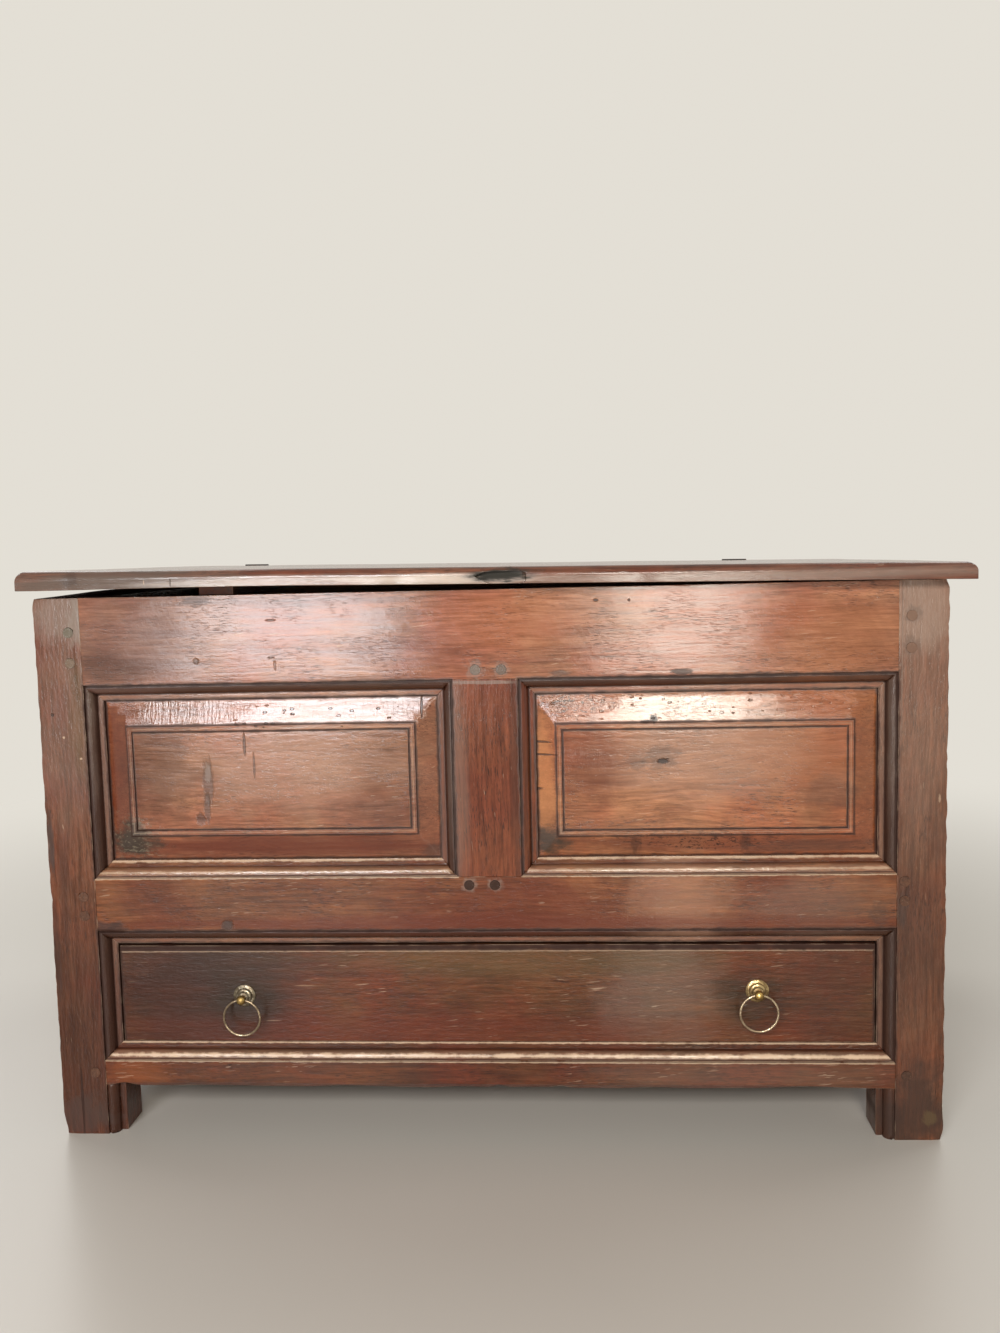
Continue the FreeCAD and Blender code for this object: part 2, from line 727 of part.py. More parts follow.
def bead_field(body, face, field):
    """Sink a line inside the field's edge and round the bead it leaves."""
    rings = [inset(field, "bead_width"), inset(field, "bead_width + bead_groove")]
    carve(body, f"{body.Label}_bead_line", view_of(face), layer(face, "panel_face", SHOULDER), rings)
    bead = value("bead_width")
    left, right, low, high = (value(edge) for edge in field)

    def on_bead(edge):
        box = edge.BoundBox
        if box.YLength > 0.01 or abs(box.YMin - value("panel_face")) > 0.01:
            return False
        spans = ((box.XMin, left), (box.XMax, right), (box.ZMin, low), (box.ZMax, high))
        to_edge = min(abs(place - limit) for place, limit in spans)
        return to_edge < 0.01 or abs(to_edge - bead) < 0.01
    round_edges(body, f"{body.Label}_bead", "bead_round", on_bead)


# ---------------------------------------------------------------- pegs and nails

def round_bar(name, axis, x, y, z, length, radius):
    """A cylinder from a point along +X, +Y or +Z."""
    bar = doc.addObject("Part::Cylinder", name)
    turn = {"x": (FreeCAD.Vector(0, 1, 0), 90), "y": (FreeCAD.Vector(1, 0, 0), -90),
            "z": (FreeCAD.Vector(0, 0, 1), 0)}[axis]
    bar.Placement = FreeCAD.Placement(FreeCAD.Vector(), FreeCAD.Rotation(*turn))
    bind(bar, Radius=radius, Height=length, Placement__Base__x=x, Placement__Base__y=y, Placement__Base__z=z)
    return bar


def group(label, members):
    """One node that holds several separate solids."""
    compound = doc.addObject("Part::Compound", label)
    compound.Label = label
    compound.Links = members
    nodes.append(compound)
    return compound


def pegs_through(face, centres):
    """Pegs in one face of the case, a little proud of it."""
    axis = "y" if face in ("front", "back") else "x"
    low, high = layer(face, "0 - peg_proud", PEG_LENGTH)
    pegs = []
    for number, (u, v) in enumerate(centres, start=1):
        x, y = (u, low) if axis == "y" else (low, u)
        pegs.append(round_bar(f"{face}_peg_{number}", axis, x, y, v, f"{high} - ({low})", "peg_radius"))
    return pegs


def nail(name, axis, sign, x, y, z, length):
    """A nail from the point where its head is flush, driven along the axis."""
    back = {1: "0", -1: "1"}[sign]

    def start(size):
        return {"x": f"{x} - {back} * {size}" if axis == "x" else x,
                "y": y,
                "z": f"{z} - {back} * {size}" if axis == "z" else z}
    shank = round_bar(f"{name}_shank", axis, *start(length).values(), length, "nail_radius")
    head = round_bar(f"{name}_head", axis, *start("nail_head_thick").values(), "nail_head_thick",
                     "nail_head_radius")
    whole = doc.addObject("Part::Fuse", name)
    whole.Base = shank
    whole.Tool = head
    return whole


def peg_groups():
    front = [centre for side in SIDES for centre in front_pegs(side)]
    front += upper_muntin_pegs() + lower_muntin_pegs()
    back = [centre for side in SIDES for centre in back_pegs(side)]
    back += upper_muntin_pegs() + lower_muntin_pegs()
    place(group("front_pegs", pegs_through("front", front)))
    place(group("back_pegs", pegs_through("back", back)))
    flanks = [peg for side in SIDES for peg in pegs_through(side, side_pegs("front") + side_pegs("back"))]
    place(group("side_pegs", flanks))


# ---------------------------------------------------------------- floor and drawer supports

FLOOR_LOW = f"({PANEL_ARRIS} - floor_drop)"
SIDE_INNER = f"({HALF} - side_rail_thick - floor_play)"
FLOOR_BOARDS = 3


def ledger(end):
    """A strip on a middle rail that carries the ends of the floor boards."""
    body = case_body(f"floor_{'front' if end == 'front' else 'rear'}_ledger")
    strip = rectangle(f"floor_play - {INNER}", f"{INNER} - floor_play",
                      f"{FLOOR_LOW} - ledger_height", FLOOR_LOW)
    behind_rail = layer(end, "rail_thick", "rail_thick + ledger_thick")
    prism(body, f"{body.Label}_strip", "front", behind_rail, [strip])


def stile_notch(side, end, play):
    """Corner that a board leaves free for a stile."""
    return rectangle(flank(side, f"{INNER} - {play}"), flank(side, f"{HALF} + {OVERRUN}"),
                     at(end, f"0 - {OVERRUN}"), at(end, f"stile_thick + {play}"))


def floor_board(number):
    body = case_body(f"floor_board_{number + 1}")
    pitch = f"(2 * {SIDE_INNER} + floor_play) / {FLOOR_BOARDS}"
    left = f"{number} * {pitch} - {SIDE_INNER}"
    board = rectangle(left, f"{left} + {pitch} - floor_play",
                      "rail_thick + floor_play", "case_depth - rail_thick - floor_play")
    heights = (FLOOR_LOW, f"{FLOOR_LOW} + floor_thick")
    prism(body, f"{body.Label}_plank", "plan", heights, [board])
    side = {0: "left", FLOOR_BOARDS - 1: "right"}.get(number)
    if side:
        notches = [stile_notch(side, end, "floor_play") for end in ("front", "back")]
        carve(body, f"{body.Label}_notches", "plan", heights, notches)


def drawer_runner(side):
    """The drawer slides on it; its ends are housed in the bottom rails."""
    body = case_body(f"{side}_drawer_runner")
    heights = (f"{RUN} - runner_height", RUN)
    plank = rectangle(flank(side, f"{INNER} - runner_width"), flank(side, SIDE_INNER),
                      "rail_thick", "case_depth - rail_thick")
    prism(body, f"{body.Label}_plank", "plan", heights, [plank])
    notches = [stile_notch(side, end, "floor_play") for end in ("front", "back")]
    carve(body, f"{body.Label}_notches", "plan", heights, notches)
    stubs = [rectangle(*runner_stub_span(side), at(end, "rail_thick - runner_stub"), at(end, "rail_thick"))
             for end in ("front", "back")]
    prism(body, f"{body.Label}_stubs", "plan", heights, stubs)


def drawer_guide(side):
    """Keeps the drawer straight between the stiles."""
    body = case_body(f"{side}_drawer_guide")
    strip = rectangle(flank(side, INNER), flank(side, f"{INNER} + guide_width"),
                      at("front", "stile_thick"), at("back", "stile_thick"))
    prism(body, f"{body.Label}_strip", "plan", (RUN, f"{RUN} + guide_height"), [strip])


# ---------------------------------------------------------------- drawer

DRAWER_HALF = f"({INNER} - drawer_side_play)"
DRAWER_LOW = f"({RUN} + drawer_base_play)"
DRAWER_HIGH = f"({RAILS['middle'][0]} - drawer_top_play)"
DRAWER_FACE = "drawer_recess"
DRAWER_FRONT_BACK = "(drawer_recess + drawer_front_thick)"
DRAWER_LAP = "(drawer_recess + drawer_lap)"
DRAWER_END = "(case_depth - rail_thick - drawer_rear_room)"
DRAWER_SIDE_HIGH = f"({DRAWER_HIGH} - drawer_side_drop)"
DRAWER_FLOOR = f"({DRAWER_LOW} + drawer_bottom_up)"
DRAWER_FLOOR_TOP = f"({DRAWER_FLOOR} + drawer_bottom_thick)"
DRAWER_WALL = f"({DRAWER_HALF} - drawer_side_thick)"
DRAWER_BACK = (f"{DRAWER_END} - drawer_back_inset - drawer_back_thick", f"{DRAWER_END} - drawer_back_inset")


def pull_centre(side):
    """Where a ring pull stands on the drawer's face, as (x, z)."""
    return flank(side, f"{DRAWER_HALF} - {side}_pull_in"), f"{DRAWER_LOW} + {side}_pull_rise"


def drawer_front():
    body = case_body("drawer_front")
    board = rectangle(f"0 - {DRAWER_HALF}", DRAWER_HALF, DRAWER_LOW, DRAWER_HIGH)
    prism(body, "drawer_front_board", "front", (DRAWER_FACE, DRAWER_FRONT_BACK), [board])
    laps = [rectangle(flank(side, DRAWER_WALL), flank(side, f"{DRAWER_HALF} + {OVERRUN}"),
                      f"{DRAWER_LOW} - {OVERRUN}", f"{DRAWER_HIGH} + {OVERRUN}") for side in SIDES]
    carve(body, "drawer_front_laps", "front", (DRAWER_LAP, DRAWER_FRONT_BACK), laps)
    slot = rectangle(f"0 - {DRAWER_WALL}", DRAWER_WALL, DRAWER_FLOOR, DRAWER_FLOOR_TOP)
    carve(body, "drawer_front_groove", "front",
          (f"{DRAWER_FRONT_BACK} - drawer_groove_depth", DRAWER_FRONT_BACK), [slot])
    holes = [(*pull_centre(side), "pull_shank_radius") for side in SIDES]
    carve(body, "drawer_front_pull_holes", "front", (DRAWER_FACE, DRAWER_FRONT_BACK), circles=holes)


def drawer_side(side):
    body = case_body(f"drawer_{side}_side")
    board = rectangle(DRAWER_LAP, DRAWER_END, DRAWER_LOW, DRAWER_SIDE_HIGH)
    outer = layer(side, f"{HALF} - {DRAWER_HALF}", f"{HALF} - {DRAWER_WALL}")
    prism(body, f"{body.Label}_board", "side", outer, [board])
    inner = layer(side, f"{HALF} - {DRAWER_WALL} - drawer_groove_depth", f"{HALF} - {DRAWER_WALL}")
    slot = rectangle(f"{DRAWER_FRONT_BACK} - drawer_groove_depth", DRAWER_END, DRAWER_FLOOR, DRAWER_FLOOR_TOP)
    carve(body, f"{body.Label}_groove", "side", inner, [slot])


def drawer_back():
    body = case_body("drawer_back")
    board = rectangle(f"0 - {DRAWER_WALL}", DRAWER_WALL, DRAWER_FLOOR_TOP, DRAWER_SIDE_HIGH)
    prism(body, "drawer_back_board", "front", DRAWER_BACK, [board])


def drawer_bottom():
    """Slid in from behind under the drawer's back, in grooves on three sides."""
    body = case_body("drawer_bottom")
    reach = f"({DRAWER_WALL} + drawer_groove_depth)"
    front = f"({DRAWER_FRONT_BACK} - drawer_groove_depth)"
    board = [(f"0 - {DRAWER_WALL}", front), (DRAWER_WALL, front), (DRAWER_WALL, DRAWER_FRONT_BACK),
             (reach, DRAWER_FRONT_BACK), (reach, DRAWER_END), (f"0 - {reach}", DRAWER_END),
             (f"0 - {reach}", DRAWER_FRONT_BACK), (f"0 - {DRAWER_WALL}", DRAWER_FRONT_BACK)]
    prism(body, "drawer_bottom_board", "plan", (DRAWER_FLOOR, DRAWER_FLOOR_TOP), [board])


def drawer_nails():
    """Nails through the sides into the front and into the drawer's back."""
    nails = []
    front_y = f"({DRAWER_LAP} + {DRAWER_FRONT_BACK}) / 2"
    back_y = f"({DRAWER_BACK[0]} + {DRAWER_BACK[1]}) / 2"
    rows = [(y, number, count) for y, count in ((front_y, 3), (back_y, 2)) for number in range(count)]
    for side, sign in SIDES.items():
        for y, number, count in rows:
            share = f"(2 * {number} + 1) / (2 * {count})"
            height = f"{DRAWER_FLOOR_TOP} + ({DRAWER_SIDE_HIGH} - {DRAWER_FLOOR_TOP}) * {share}"
            name = f"drawer_{side}_nail_{len(nails) + 1}"
            nails.append(nail(name, "x", -sign, flank(side, DRAWER_HALF), y, height, "nail_length"))
    place(group("drawer_nails", nails))


# ---------------------------------------------------------------- ring pulls

RING_RADIUS = "(ring_outer_radius - ring_wire_radius)"


def pull_body(side, piece):
    """A piece of a ring pull, drawn from the middle of the ball."""
    body = new_body(f"{side}_pull_{piece}")
    across, up = pull_centre(side)
    place(body, across, f"{DRAWER_FACE} - pull_stand", up)
    return body


# The rose's steps from its seat to its neck: the share of the way from the
# neck's radius to the rim's, and the share of its height.
ROSE_STEPS = [(1, 0), (1, 0.2), (0.72, 0.34), (0.5, 0.34), (0.42, 0.54), (0.3, 0.6), (0, 0.66), (0, 0.88),
              (-0.2, 1)]


def pull_rose(side):
    """A turned, stepped boss."""
    body = pull_body(side, "rose")
    profile = new_sketch(body, f"{body.Label}_profile", "plan", "0")
    outline = [(f"rose_neck_radius + (rose_radius - rose_neck_radius) * ({across})",
                f"pull_stand - rose_height * {up}") for across, up in ROSE_STEPS]
    bore = [("pull_shank_radius", "pull_stand - rose_height"), ("pull_shank_radius", "pull_stand")]
    draw(profile, outline + bore)
    turned = body.newObject("PartDesign::Revolution", f"{body.Label}_turned")
    turned.Profile = profile
    turned.ReferenceAxis = (profile, ["V_Axis"])
    turned.Angle = 360


def pull_eye(side):
    """A ball bored for the ring, on a shank clenched inside the drawer."""
    body = pull_body(side, "eye")
    ball = body.newObject("PartDesign::AdditiveSphere", f"{body.Label}_ball")
    attach(ball, body, "plan", "0")
    bind(ball, Radius="pull_ball_radius")
    rod(body, f"{body.Label}_shank", "front", "0", "(pull_stand + drawer_front_thick + pull_shank_radius)",
        "pull_shank_radius")
    rod(body, f"{body.Label}_clench", "plan", "0 - pull_clench", "(2 * pull_clench)", "pull_shank_radius / 2",
        v="pull_stand + drawer_front_thick + pull_shank_radius / 2")
    rod(body, f"{body.Label}_bore", "side", f"0 - pull_ball_radius - {OVERRUN}",
        f"(2 * (pull_ball_radius + {OVERRUN}))", "ring_bore_radius", cut=True)


def pull_ring(side):
    body = pull_body(side, "ring")
    ring = body.newObject("PartDesign::AdditiveTorus", f"{body.Label}_wire")
    attach(ring, body, "front", "0", v=f"0 - {RING_RADIUS}")
    bind(ring, Radius1=RING_RADIUS, Radius2="ring_wire_radius")


# ---------------------------------------------------------------- lid

# The left batten lies across the rails and lifts that side of the lid, which
# rests on the right side of the case. Lid pieces are drawn from that edge.
BATTEN_OUTER = f"({HALF} - batten_in)"
BATTEN_INNER = f"({BATTEN_OUTER} - batten_width)"
LID_TILT = f"atan(batten_thick / ({HALF} + {BATTEN_INNER}))"


def lid_body(label):
    body = new_body(label)
    place_on_lid(body)
    return body


def place_on_lid(target):
    tilt(target)
    place(target, HALF, "0", f"{CASE_TOP} + lid_rest_play")


# Outline of the worn scoop in the lid's front edge, as shares of its width
# from its middle and of the lid's thickness. It runs out through the underside.
SCOOP_OUTLINE = [(-0.5, 0.42), (-0.3, 0.7), (0.38, 0.78), (0.5, 0.55), (0.48, 0.1), (0.3, -0.1), (-0.1, -0.1),
                 (-0.3, 0.12)]


def lid_board():
    """One wide board with a rounded edge at the front and both ends."""
    body = lid_body("lid_board")
    left, right = "0 - case_width - lid_left_overhang", "lid_right_overhang"
    front, back = "0 - lid_front_overhang", "case_depth + lid_back_overhang"
    prism(body, "lid_board_plank", "plan", ("0", "lid_thick"), [rectangle(left, right, front, back)])

    def nosed(edge):
        box = edge.BoundBox
        top = box.ZMin > value("lid_thick") - 0.01
        behind = box.YMin > value(back) - 0.01
        return top and not behind
    round_edges(body, "lid_board_nosing", "lid_nosing", nosed)
    middle = f"scoop_from_middle - {HALF}"
    corners = [(f"{middle} + scoop_width * ({u})", f"lid_thick * ({v})") for u, v in SCOOP_OUTLINE]
    carve(body, "lid_board_scoop", "front", (f"{front} - {OVERRUN}", f"{front} + scoop_depth"), [corners])


def batten(side):
    """A strip across the grain under the lid; the left one is the longer."""
    body = lid_body(f"lid_{side}_batten")
    inner = f"{flank(side, BATTEN_INNER)} - {HALF}"
    outer = f"{flank(side, BATTEN_OUTER)} - {HALF}"
    reach = "batten_end_inset" if side == "left" else "rail_thick + batten_play"
    strip = rectangle(inner, outer, at("front", reach), at("back", reach))
    prism(body, f"{body.Label}_strip", "plan", ("0 - batten_thick", "0"), [strip])


def batten_nails():
    nails = []
    for side in SIDES:
        x = f"{flank(side, f'{BATTEN_OUTER} - batten_width / 2')} - {HALF}"
        ends = "rail_thick + batten_play + nail_end_space"
        for y in (at("front", ends), "case_depth / 2", at("back", ends)):
            name = f"{side}_batten_nail_{len(nails) + 1}"
            nails.append(nail(name, "z", 1, x, y, "0 - batten_thick", "batten_nail_length"))
    place_on_lid(group("lid_batten_nails", nails))


# ---------------------------------------------------------------- hinges

EYE_RADIUS = "(staple_radius + eye_play + eye_wire_radius)"


def hinge_body(side, piece):
    """A piece of a wire hinge, drawn from the middle of the staple's crown."""
    body = new_body(f"{side}_hinge_{piece}")
    if piece == "eye":
        tilt(body)
    place(body, flank(side, f"{HALF} - {side}_hinge_in"), "case_depth + hinge_stand",
          f"{CASE_TOP} - hinge_drop")
    return body


def hinge_staple(side):
    """A bent wire driven into the back top rail."""
    body = hinge_body(side, "staple")
    half, turn = "staple_width / 2", "(staple_width / 2 - staple_bend)"
    tip = "0 - hinge_stand - staple_leg"
    path = new_sketch(body, f"{body.Label}_path", "plan", "0")
    draw(path, [(f"0 - {half}", tip), (f"0 - {half}", "0 - staple_bend"), (f"0 - {turn}", "0"), (turn, "0"),
                (half, "0 - staple_bend"), (half, tip)],
         {1: (f"0 - {turn}", "0 - staple_bend"), 3: (turn, "0 - staple_bend")}, closed=False)
    section = new_sketch(body, f"{body.Label}_section", "front", tip)
    draw_circle(section, f"0 - {half}", "0", "staple_radius")
    wire = body.newObject("PartDesign::AdditivePipe", f"{body.Label}_wire")
    wire.Profile = section
    wire.Spine = path


def hinge_eye(side):
    """A split pin round the staple, driven up through the lid and clenched."""
    body = hinge_body(side, "eye")
    from_prop = {"left": "(case_width - left_hinge_in)", "right": "right_hinge_in"}[side]
    under_lid = f"((hinge_drop + lid_rest_play) * cos({LID_TILT}) + {from_prop} * sin({LID_TILT}))"
    loop = body.newObject("PartDesign::AdditiveTorus", f"{body.Label}_loop")
    attach(loop, body, "side", "0")
    bind(loop, Radius1=EYE_RADIUS, Radius2="eye_wire_radius")
    top = f"({under_lid} + lid_thick)"
    rod(body, f"{body.Label}_shank", "plan", EYE_RADIUS, f"({top} - {EYE_RADIUS})", "eye_shank_radius")
    rod(body, f"{body.Label}_clench", "side", "0 - eye_clench", "(2 * eye_clench)", "eye_wire_radius", v=top)


# ---------------------------------------------------------------- the whole chest

for end in ("front", "back"):
    for side in SIDES:
        stile(end, side)
    for rail in RAILS:
        cross_rail(end, rail)
    muntin(end)
    ledger(end)
for name, (left, right) in {"left": (f"(0 - {INNER})", MUNTIN_LEFT_EDGE),
                            "right": (MUNTIN_RIGHT_EDGE, INNER)}.items():
    fielded_panel(f"front_{name}_panel", "front", left, right, UPPER_OPENING, True)
    plain_panel(f"back_{name}_panel", "back", left, right, UPPER_OPENING)
plain_panel("back_lower_panel", "back", f"(0 - {INNER})", INNER, LOWER_OPENING)
for side in SIDES:
    for rail in RAILS:
        side_rail(side, rail)
    shoulders = "stile_thick", "(case_depth - stile_thick)"
    fielded_panel(f"{side}_upper_panel", side, *shoulders, UPPER_OPENING, False)
    plain_panel(f"{side}_lower_panel", side, *shoulders, LOWER_OPENING)
    drawer_runner(side)
    drawer_guide(side)
    drawer_side(side)
    pull_rose(side)
    pull_eye(side)
    pull_ring(side)
    batten(side)
    hinge_staple(side)
    hinge_eye(side)
for number in range(FLOOR_BOARDS):
    floor_board(number)
peg_groups()
drawer_front()
drawer_back()
drawer_bottom()
drawer_nails()
lid_board()
batten_nails()

doc.recompute()

faults = [f"{item.Label}: {item.State}" for item in doc.Objects if {"Invalid", "Error"} & set(item.State)]
for feature in doc.Objects:
    base = getattr(feature, "BaseFeature", None)
    if feature.TypeId in ("PartDesign::Pocket", "PartDesign::SubtractiveCylinder") and base:
        if feature.Shape.Volume >= base.Shape.Volume - 0.001:
            faults.append(f"{feature.Label} cuts nothing")
for node in nodes:
    if node.Shape.isNull() or not node.Shape.isValid():
        faults.append(f"{node.Label} has no sound shape")
if faults:
    raise RuntimeError("; ".join(faults))

os.makedirs("parts", exist_ok=True)
for node in nodes:
    node.Shape.exportStep(f"parts/{node.Label}.step")
print(f"{len(nodes)} nodes")
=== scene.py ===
"""Finishes of the small mule chest: waxed oak, dry oak, brass and iron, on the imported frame.

Metres, as in the frame. Places on the chest are given in the joiner's own millimetres:
across from the middle of the case, back from its front face and up from the floor.
"""

import bmesh
import bpy
import itertools
import json
import math
import numpy as np
import random
from mathutils import Euler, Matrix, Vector


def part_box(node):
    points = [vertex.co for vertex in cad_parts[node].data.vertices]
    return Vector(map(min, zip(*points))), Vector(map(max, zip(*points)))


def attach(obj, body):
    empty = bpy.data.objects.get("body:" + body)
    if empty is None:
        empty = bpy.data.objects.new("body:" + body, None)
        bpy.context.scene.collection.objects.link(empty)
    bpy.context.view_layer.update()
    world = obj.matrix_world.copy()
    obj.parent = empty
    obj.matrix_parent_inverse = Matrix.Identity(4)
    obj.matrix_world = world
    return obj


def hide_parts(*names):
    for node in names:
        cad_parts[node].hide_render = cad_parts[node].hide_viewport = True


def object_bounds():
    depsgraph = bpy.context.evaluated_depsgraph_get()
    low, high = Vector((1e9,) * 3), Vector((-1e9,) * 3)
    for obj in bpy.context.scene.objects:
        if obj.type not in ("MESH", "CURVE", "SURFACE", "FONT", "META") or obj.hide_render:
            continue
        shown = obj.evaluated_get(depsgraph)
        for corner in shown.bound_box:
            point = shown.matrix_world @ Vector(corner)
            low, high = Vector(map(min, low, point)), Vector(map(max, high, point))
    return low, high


MM = 0.001

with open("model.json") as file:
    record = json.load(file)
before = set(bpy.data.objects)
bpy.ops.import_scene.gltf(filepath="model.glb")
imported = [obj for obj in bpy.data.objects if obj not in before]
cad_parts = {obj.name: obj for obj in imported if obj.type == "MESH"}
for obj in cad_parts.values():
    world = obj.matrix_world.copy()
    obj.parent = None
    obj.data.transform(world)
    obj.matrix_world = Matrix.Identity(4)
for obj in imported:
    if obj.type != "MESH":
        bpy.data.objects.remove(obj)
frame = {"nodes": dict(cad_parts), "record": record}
cad_box = [list(corner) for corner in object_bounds()]

LEFT_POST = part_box("front_left_stile")
RIGHT_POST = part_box("front_right_stile")
MIDDLE = (LEFT_POST[0].x + RIGHT_POST[1].x) / 2
FRONT = LEFT_POST[0].y
SLOT_OF = {part["node"]: part["material_slot"] for part in frame["record"]["subparts"]}
BODIES = frame["record"]["behaviour"]["bodies"]
BODY_OF = {node: body for body, nodes in BODIES.items() for node in nodes}


def place(across, back, up):
    """A point on the chest, from the joiner's millimetres."""
    return Vector((MIDDLE + across * MM, FRONT + back * MM, up * MM))


def new_object(name, data):
    piece = bpy.data.objects.new(name, data)
    bpy.context.scene.collection.objects.link(piece)
    return piece


# -------- hand work and wear

# waves of the sway that hand work leaves: length, size
SWAYS = ((70 * MM, 0.22 * MM), (17 * MM, 0.07 * MM))
# large odd numbers that scatter the corners of a grid
SCATTER = np.array([73856093, 19349663, 83492791])
SCATTER_SEED = 2654435761
SCATTER_AGAIN = 1274126177
TOP_KEY = 0xFFFF

# what lies below this height wears with the case, the rest with the lid
CASE_LIMIT = 436
HALF_WIDTH = 350
# front corners of the case: across, wear, seed, chips (height, half height, depth)
CORNERS = (
    (-HALF_WIDTH, 0.55, 31, ((435, 3, 1.2), (196, 4, 0.8), (0, 9, 2.4))),
    (HALF_WIDTH, 1, 32, ((435, 4, 2.2), (402, 3, 0.9), (296, 4, 0.7), (0, 5, 1.2))),
)
CORNER_REACH = 4.5
# waves of the corners' wear: length, size
CORNER_WAVES = ((13 * MM, 0.7), (6 * MM, 0.6))
CORNER_DEPTH_SHARE = 0.4
RAIL_LOW_EDGE = 41
RAIL_HALF_LENGTH = 338
RAIL_REACH_UP = 2.5
RAIL_REACH_BACK = 8
RAIL_WEAR = 0.9
RAIL_SEED = 41
RAIL_WAVE = 30 * MM
# chips and nicks along an edge: across, half width, depth
RAIL_CHIPS = ((-298, 8, 2.2), (6, 6, 1.8), (54, 6, 1.6), (250, 40, 1.4), (-120, 30, 0.8))
LID_NICKS = ((-312, 5, 0.2), (-60, 9, 0.4), (120, 10, 0.4), (300, 8, 0.4))
LID_FRONT = -16
NICK_REACH = 5
# the lid's underside: height at the right end, rise to the left, thickness
LID_LOW = 435.2
LID_RISE = 0.01222
LID_THICK = 12.6
# the lid's left end is thicker below: how much, from where on, over what length
LID_SAG = 2.2
LID_SAG_START = -190
LID_SAG_LENGTH = 150
# behind the front the gap under the lid's left end is narrower
GAP_MIDDLE = 160
GAP_HALF = 110
GAP_START = -260
GAP_GROWTH = 50
SIDE_RISE = 3.3
SIDE_FOOT = 380
LID_FALL = 1.9
# raised fields: left, right, low and high edges, and how far the hand left each from there
FIELDS = {
    "front_left_panel": ((-281.7, -54.25, 247.3, 334.2), (-0.5, 1.0, -2.0, -1.0)),
    "front_right_panel": ((58.85, 281.7, 247.3, 334.2), (-3.0, 0.0, -5.0, -3.9)),
}
# the bead and its groove round a field: width in the solids, width that the hand gave them
BEAD_WIDTH = 7.8
NARROW_BEAD = 5.4
# further out than this from its field a panel stays as it is
PANEL_EDGE = 31
FAR_AWAY = 500


def lattice_noise(points, cell, seed):
    """Smooth noise from -1 to 1 at each point, with one random value per corner of a grid."""
    spots = points / cell
    base = np.floor(spots).astype(np.int64)
    part = spots - base
    part = part * part * (3 - 2 * part)
    total = np.zeros(len(points))
    for corner in itertools.product((0, 1), repeat=3):
        key = (base + corner) @ SCATTER + seed * SCATTER_SEED
        key = (key ^ (key >> 13)) * SCATTER_AGAIN
        key = (key ^ (key >> 16)) & TOP_KEY
        weight = np.prod(np.where(corner, part, 1 - part), axis=1)
        total += weight * (key / (TOP_KEY / 2) - 1)
    return total


def sway(points):
    """How far hand work and age have moved each point. Neighbouring pieces move together."""
    moved = np.zeros_like(points)
    for band, (cell, size) in enumerate(SWAYS):
        for axis in range(3):
            moved[:, axis] += size * lattice_noise(points, cell, 10 * band + axis)
    return moved


def bell(distance, reach):
    return np.exp(-((distance / reach) ** 2))


def chipped(depth, along, chips):
    """The depth of wear along an edge, with its chips."""
    for middle, half, chip_depth in chips:
        depth = depth + chip_depth * bell(along - middle, half)
    return depth


def wear_corners(moved, points, across, back, up):
    """Rounds and chips the front corners of the case."""
    for corner, wear, seed, chips in CORNERS:
        near = bell(np.hypot(across - corner, back), CORNER_REACH) * (up < CASE_LIMIT)
        rough = sum(size * lattice_noise(points, cell, seed) for cell, size in CORNER_WAVES)
        depth = chipped(wear * np.clip(rough + 0.45, 0, 1.2), up, chips)
        moved[:, 0] -= np.sign(corner) * near * depth * MM
        moved[:, 1] += near * depth * CORNER_DEPTH_SHARE * MM


def wear_rail(moved, points, across, back, up):
    """Wears and chips the lower front edge of the bottom rail."""
    near = bell(up - RAIL_LOW_EDGE, RAIL_REACH_UP) * bell(back, RAIL_REACH_BACK)
    near = near * (np.abs(across) < RAIL_HALF_LENGTH)
    depth = RAIL_WEAR * np.clip(lattice_noise(points, RAIL_WAVE, RAIL_SEED) + 0.4, 0, 1.4)
    moved[:, 2] += near * chipped(depth, across, RAIL_CHIPS) * MM


def wear_lid(moved, across, back, up):
    """Nicks the lid's front edge, and makes the gap under its left end narrower."""
    on_lid = up > CASE_LIMIT
    nicks = chipped(np.zeros(len(across)), across, LID_NICKS)
    moved[:, 1] += bell(back - LID_FRONT, NICK_REACH) * on_lid * nicks * MM
    underside = LID_LOW + (HALF_WIDTH - across) * LID_RISE
    low_share = np.clip(1 - (up - underside) / LID_THICK, 0, 1) * on_lid
    sag = np.clip((LID_SAG_START - across) / LID_SAG_LENGTH, 0, 1)
    moved[:, 2] -= LID_SAG * low_share * sag * MM
    at_gap = bell(back - GAP_MIDDLE, GAP_HALF) * np.clip((GAP_START - across) / GAP_GROWTH, 0, 1)
    moved[:, 2] -= LID_FALL * low_share * at_gap * MM
    high_share = np.clip((up - SIDE_FOOT) / GAP_GROWTH, 0, 1) * (up < CASE_LIMIT)
    moved[:, 2] += SIDE_RISE * at_gap * high_share * MM


def worn(points):
    """The sway, with the wear of the case's corners, the bottom rail and the lid."""
    moved = sway(points)
    across = (points[:, 0] - MIDDLE) / MM
    back = (points[:, 1] - FRONT) / MM
    up = points[:, 2] / MM
    wear_corners(moved, points, across, back, up)
    wear_rail(moved, points, across, back, up)
    wear_lid(moved, across, back, up)
    return moved


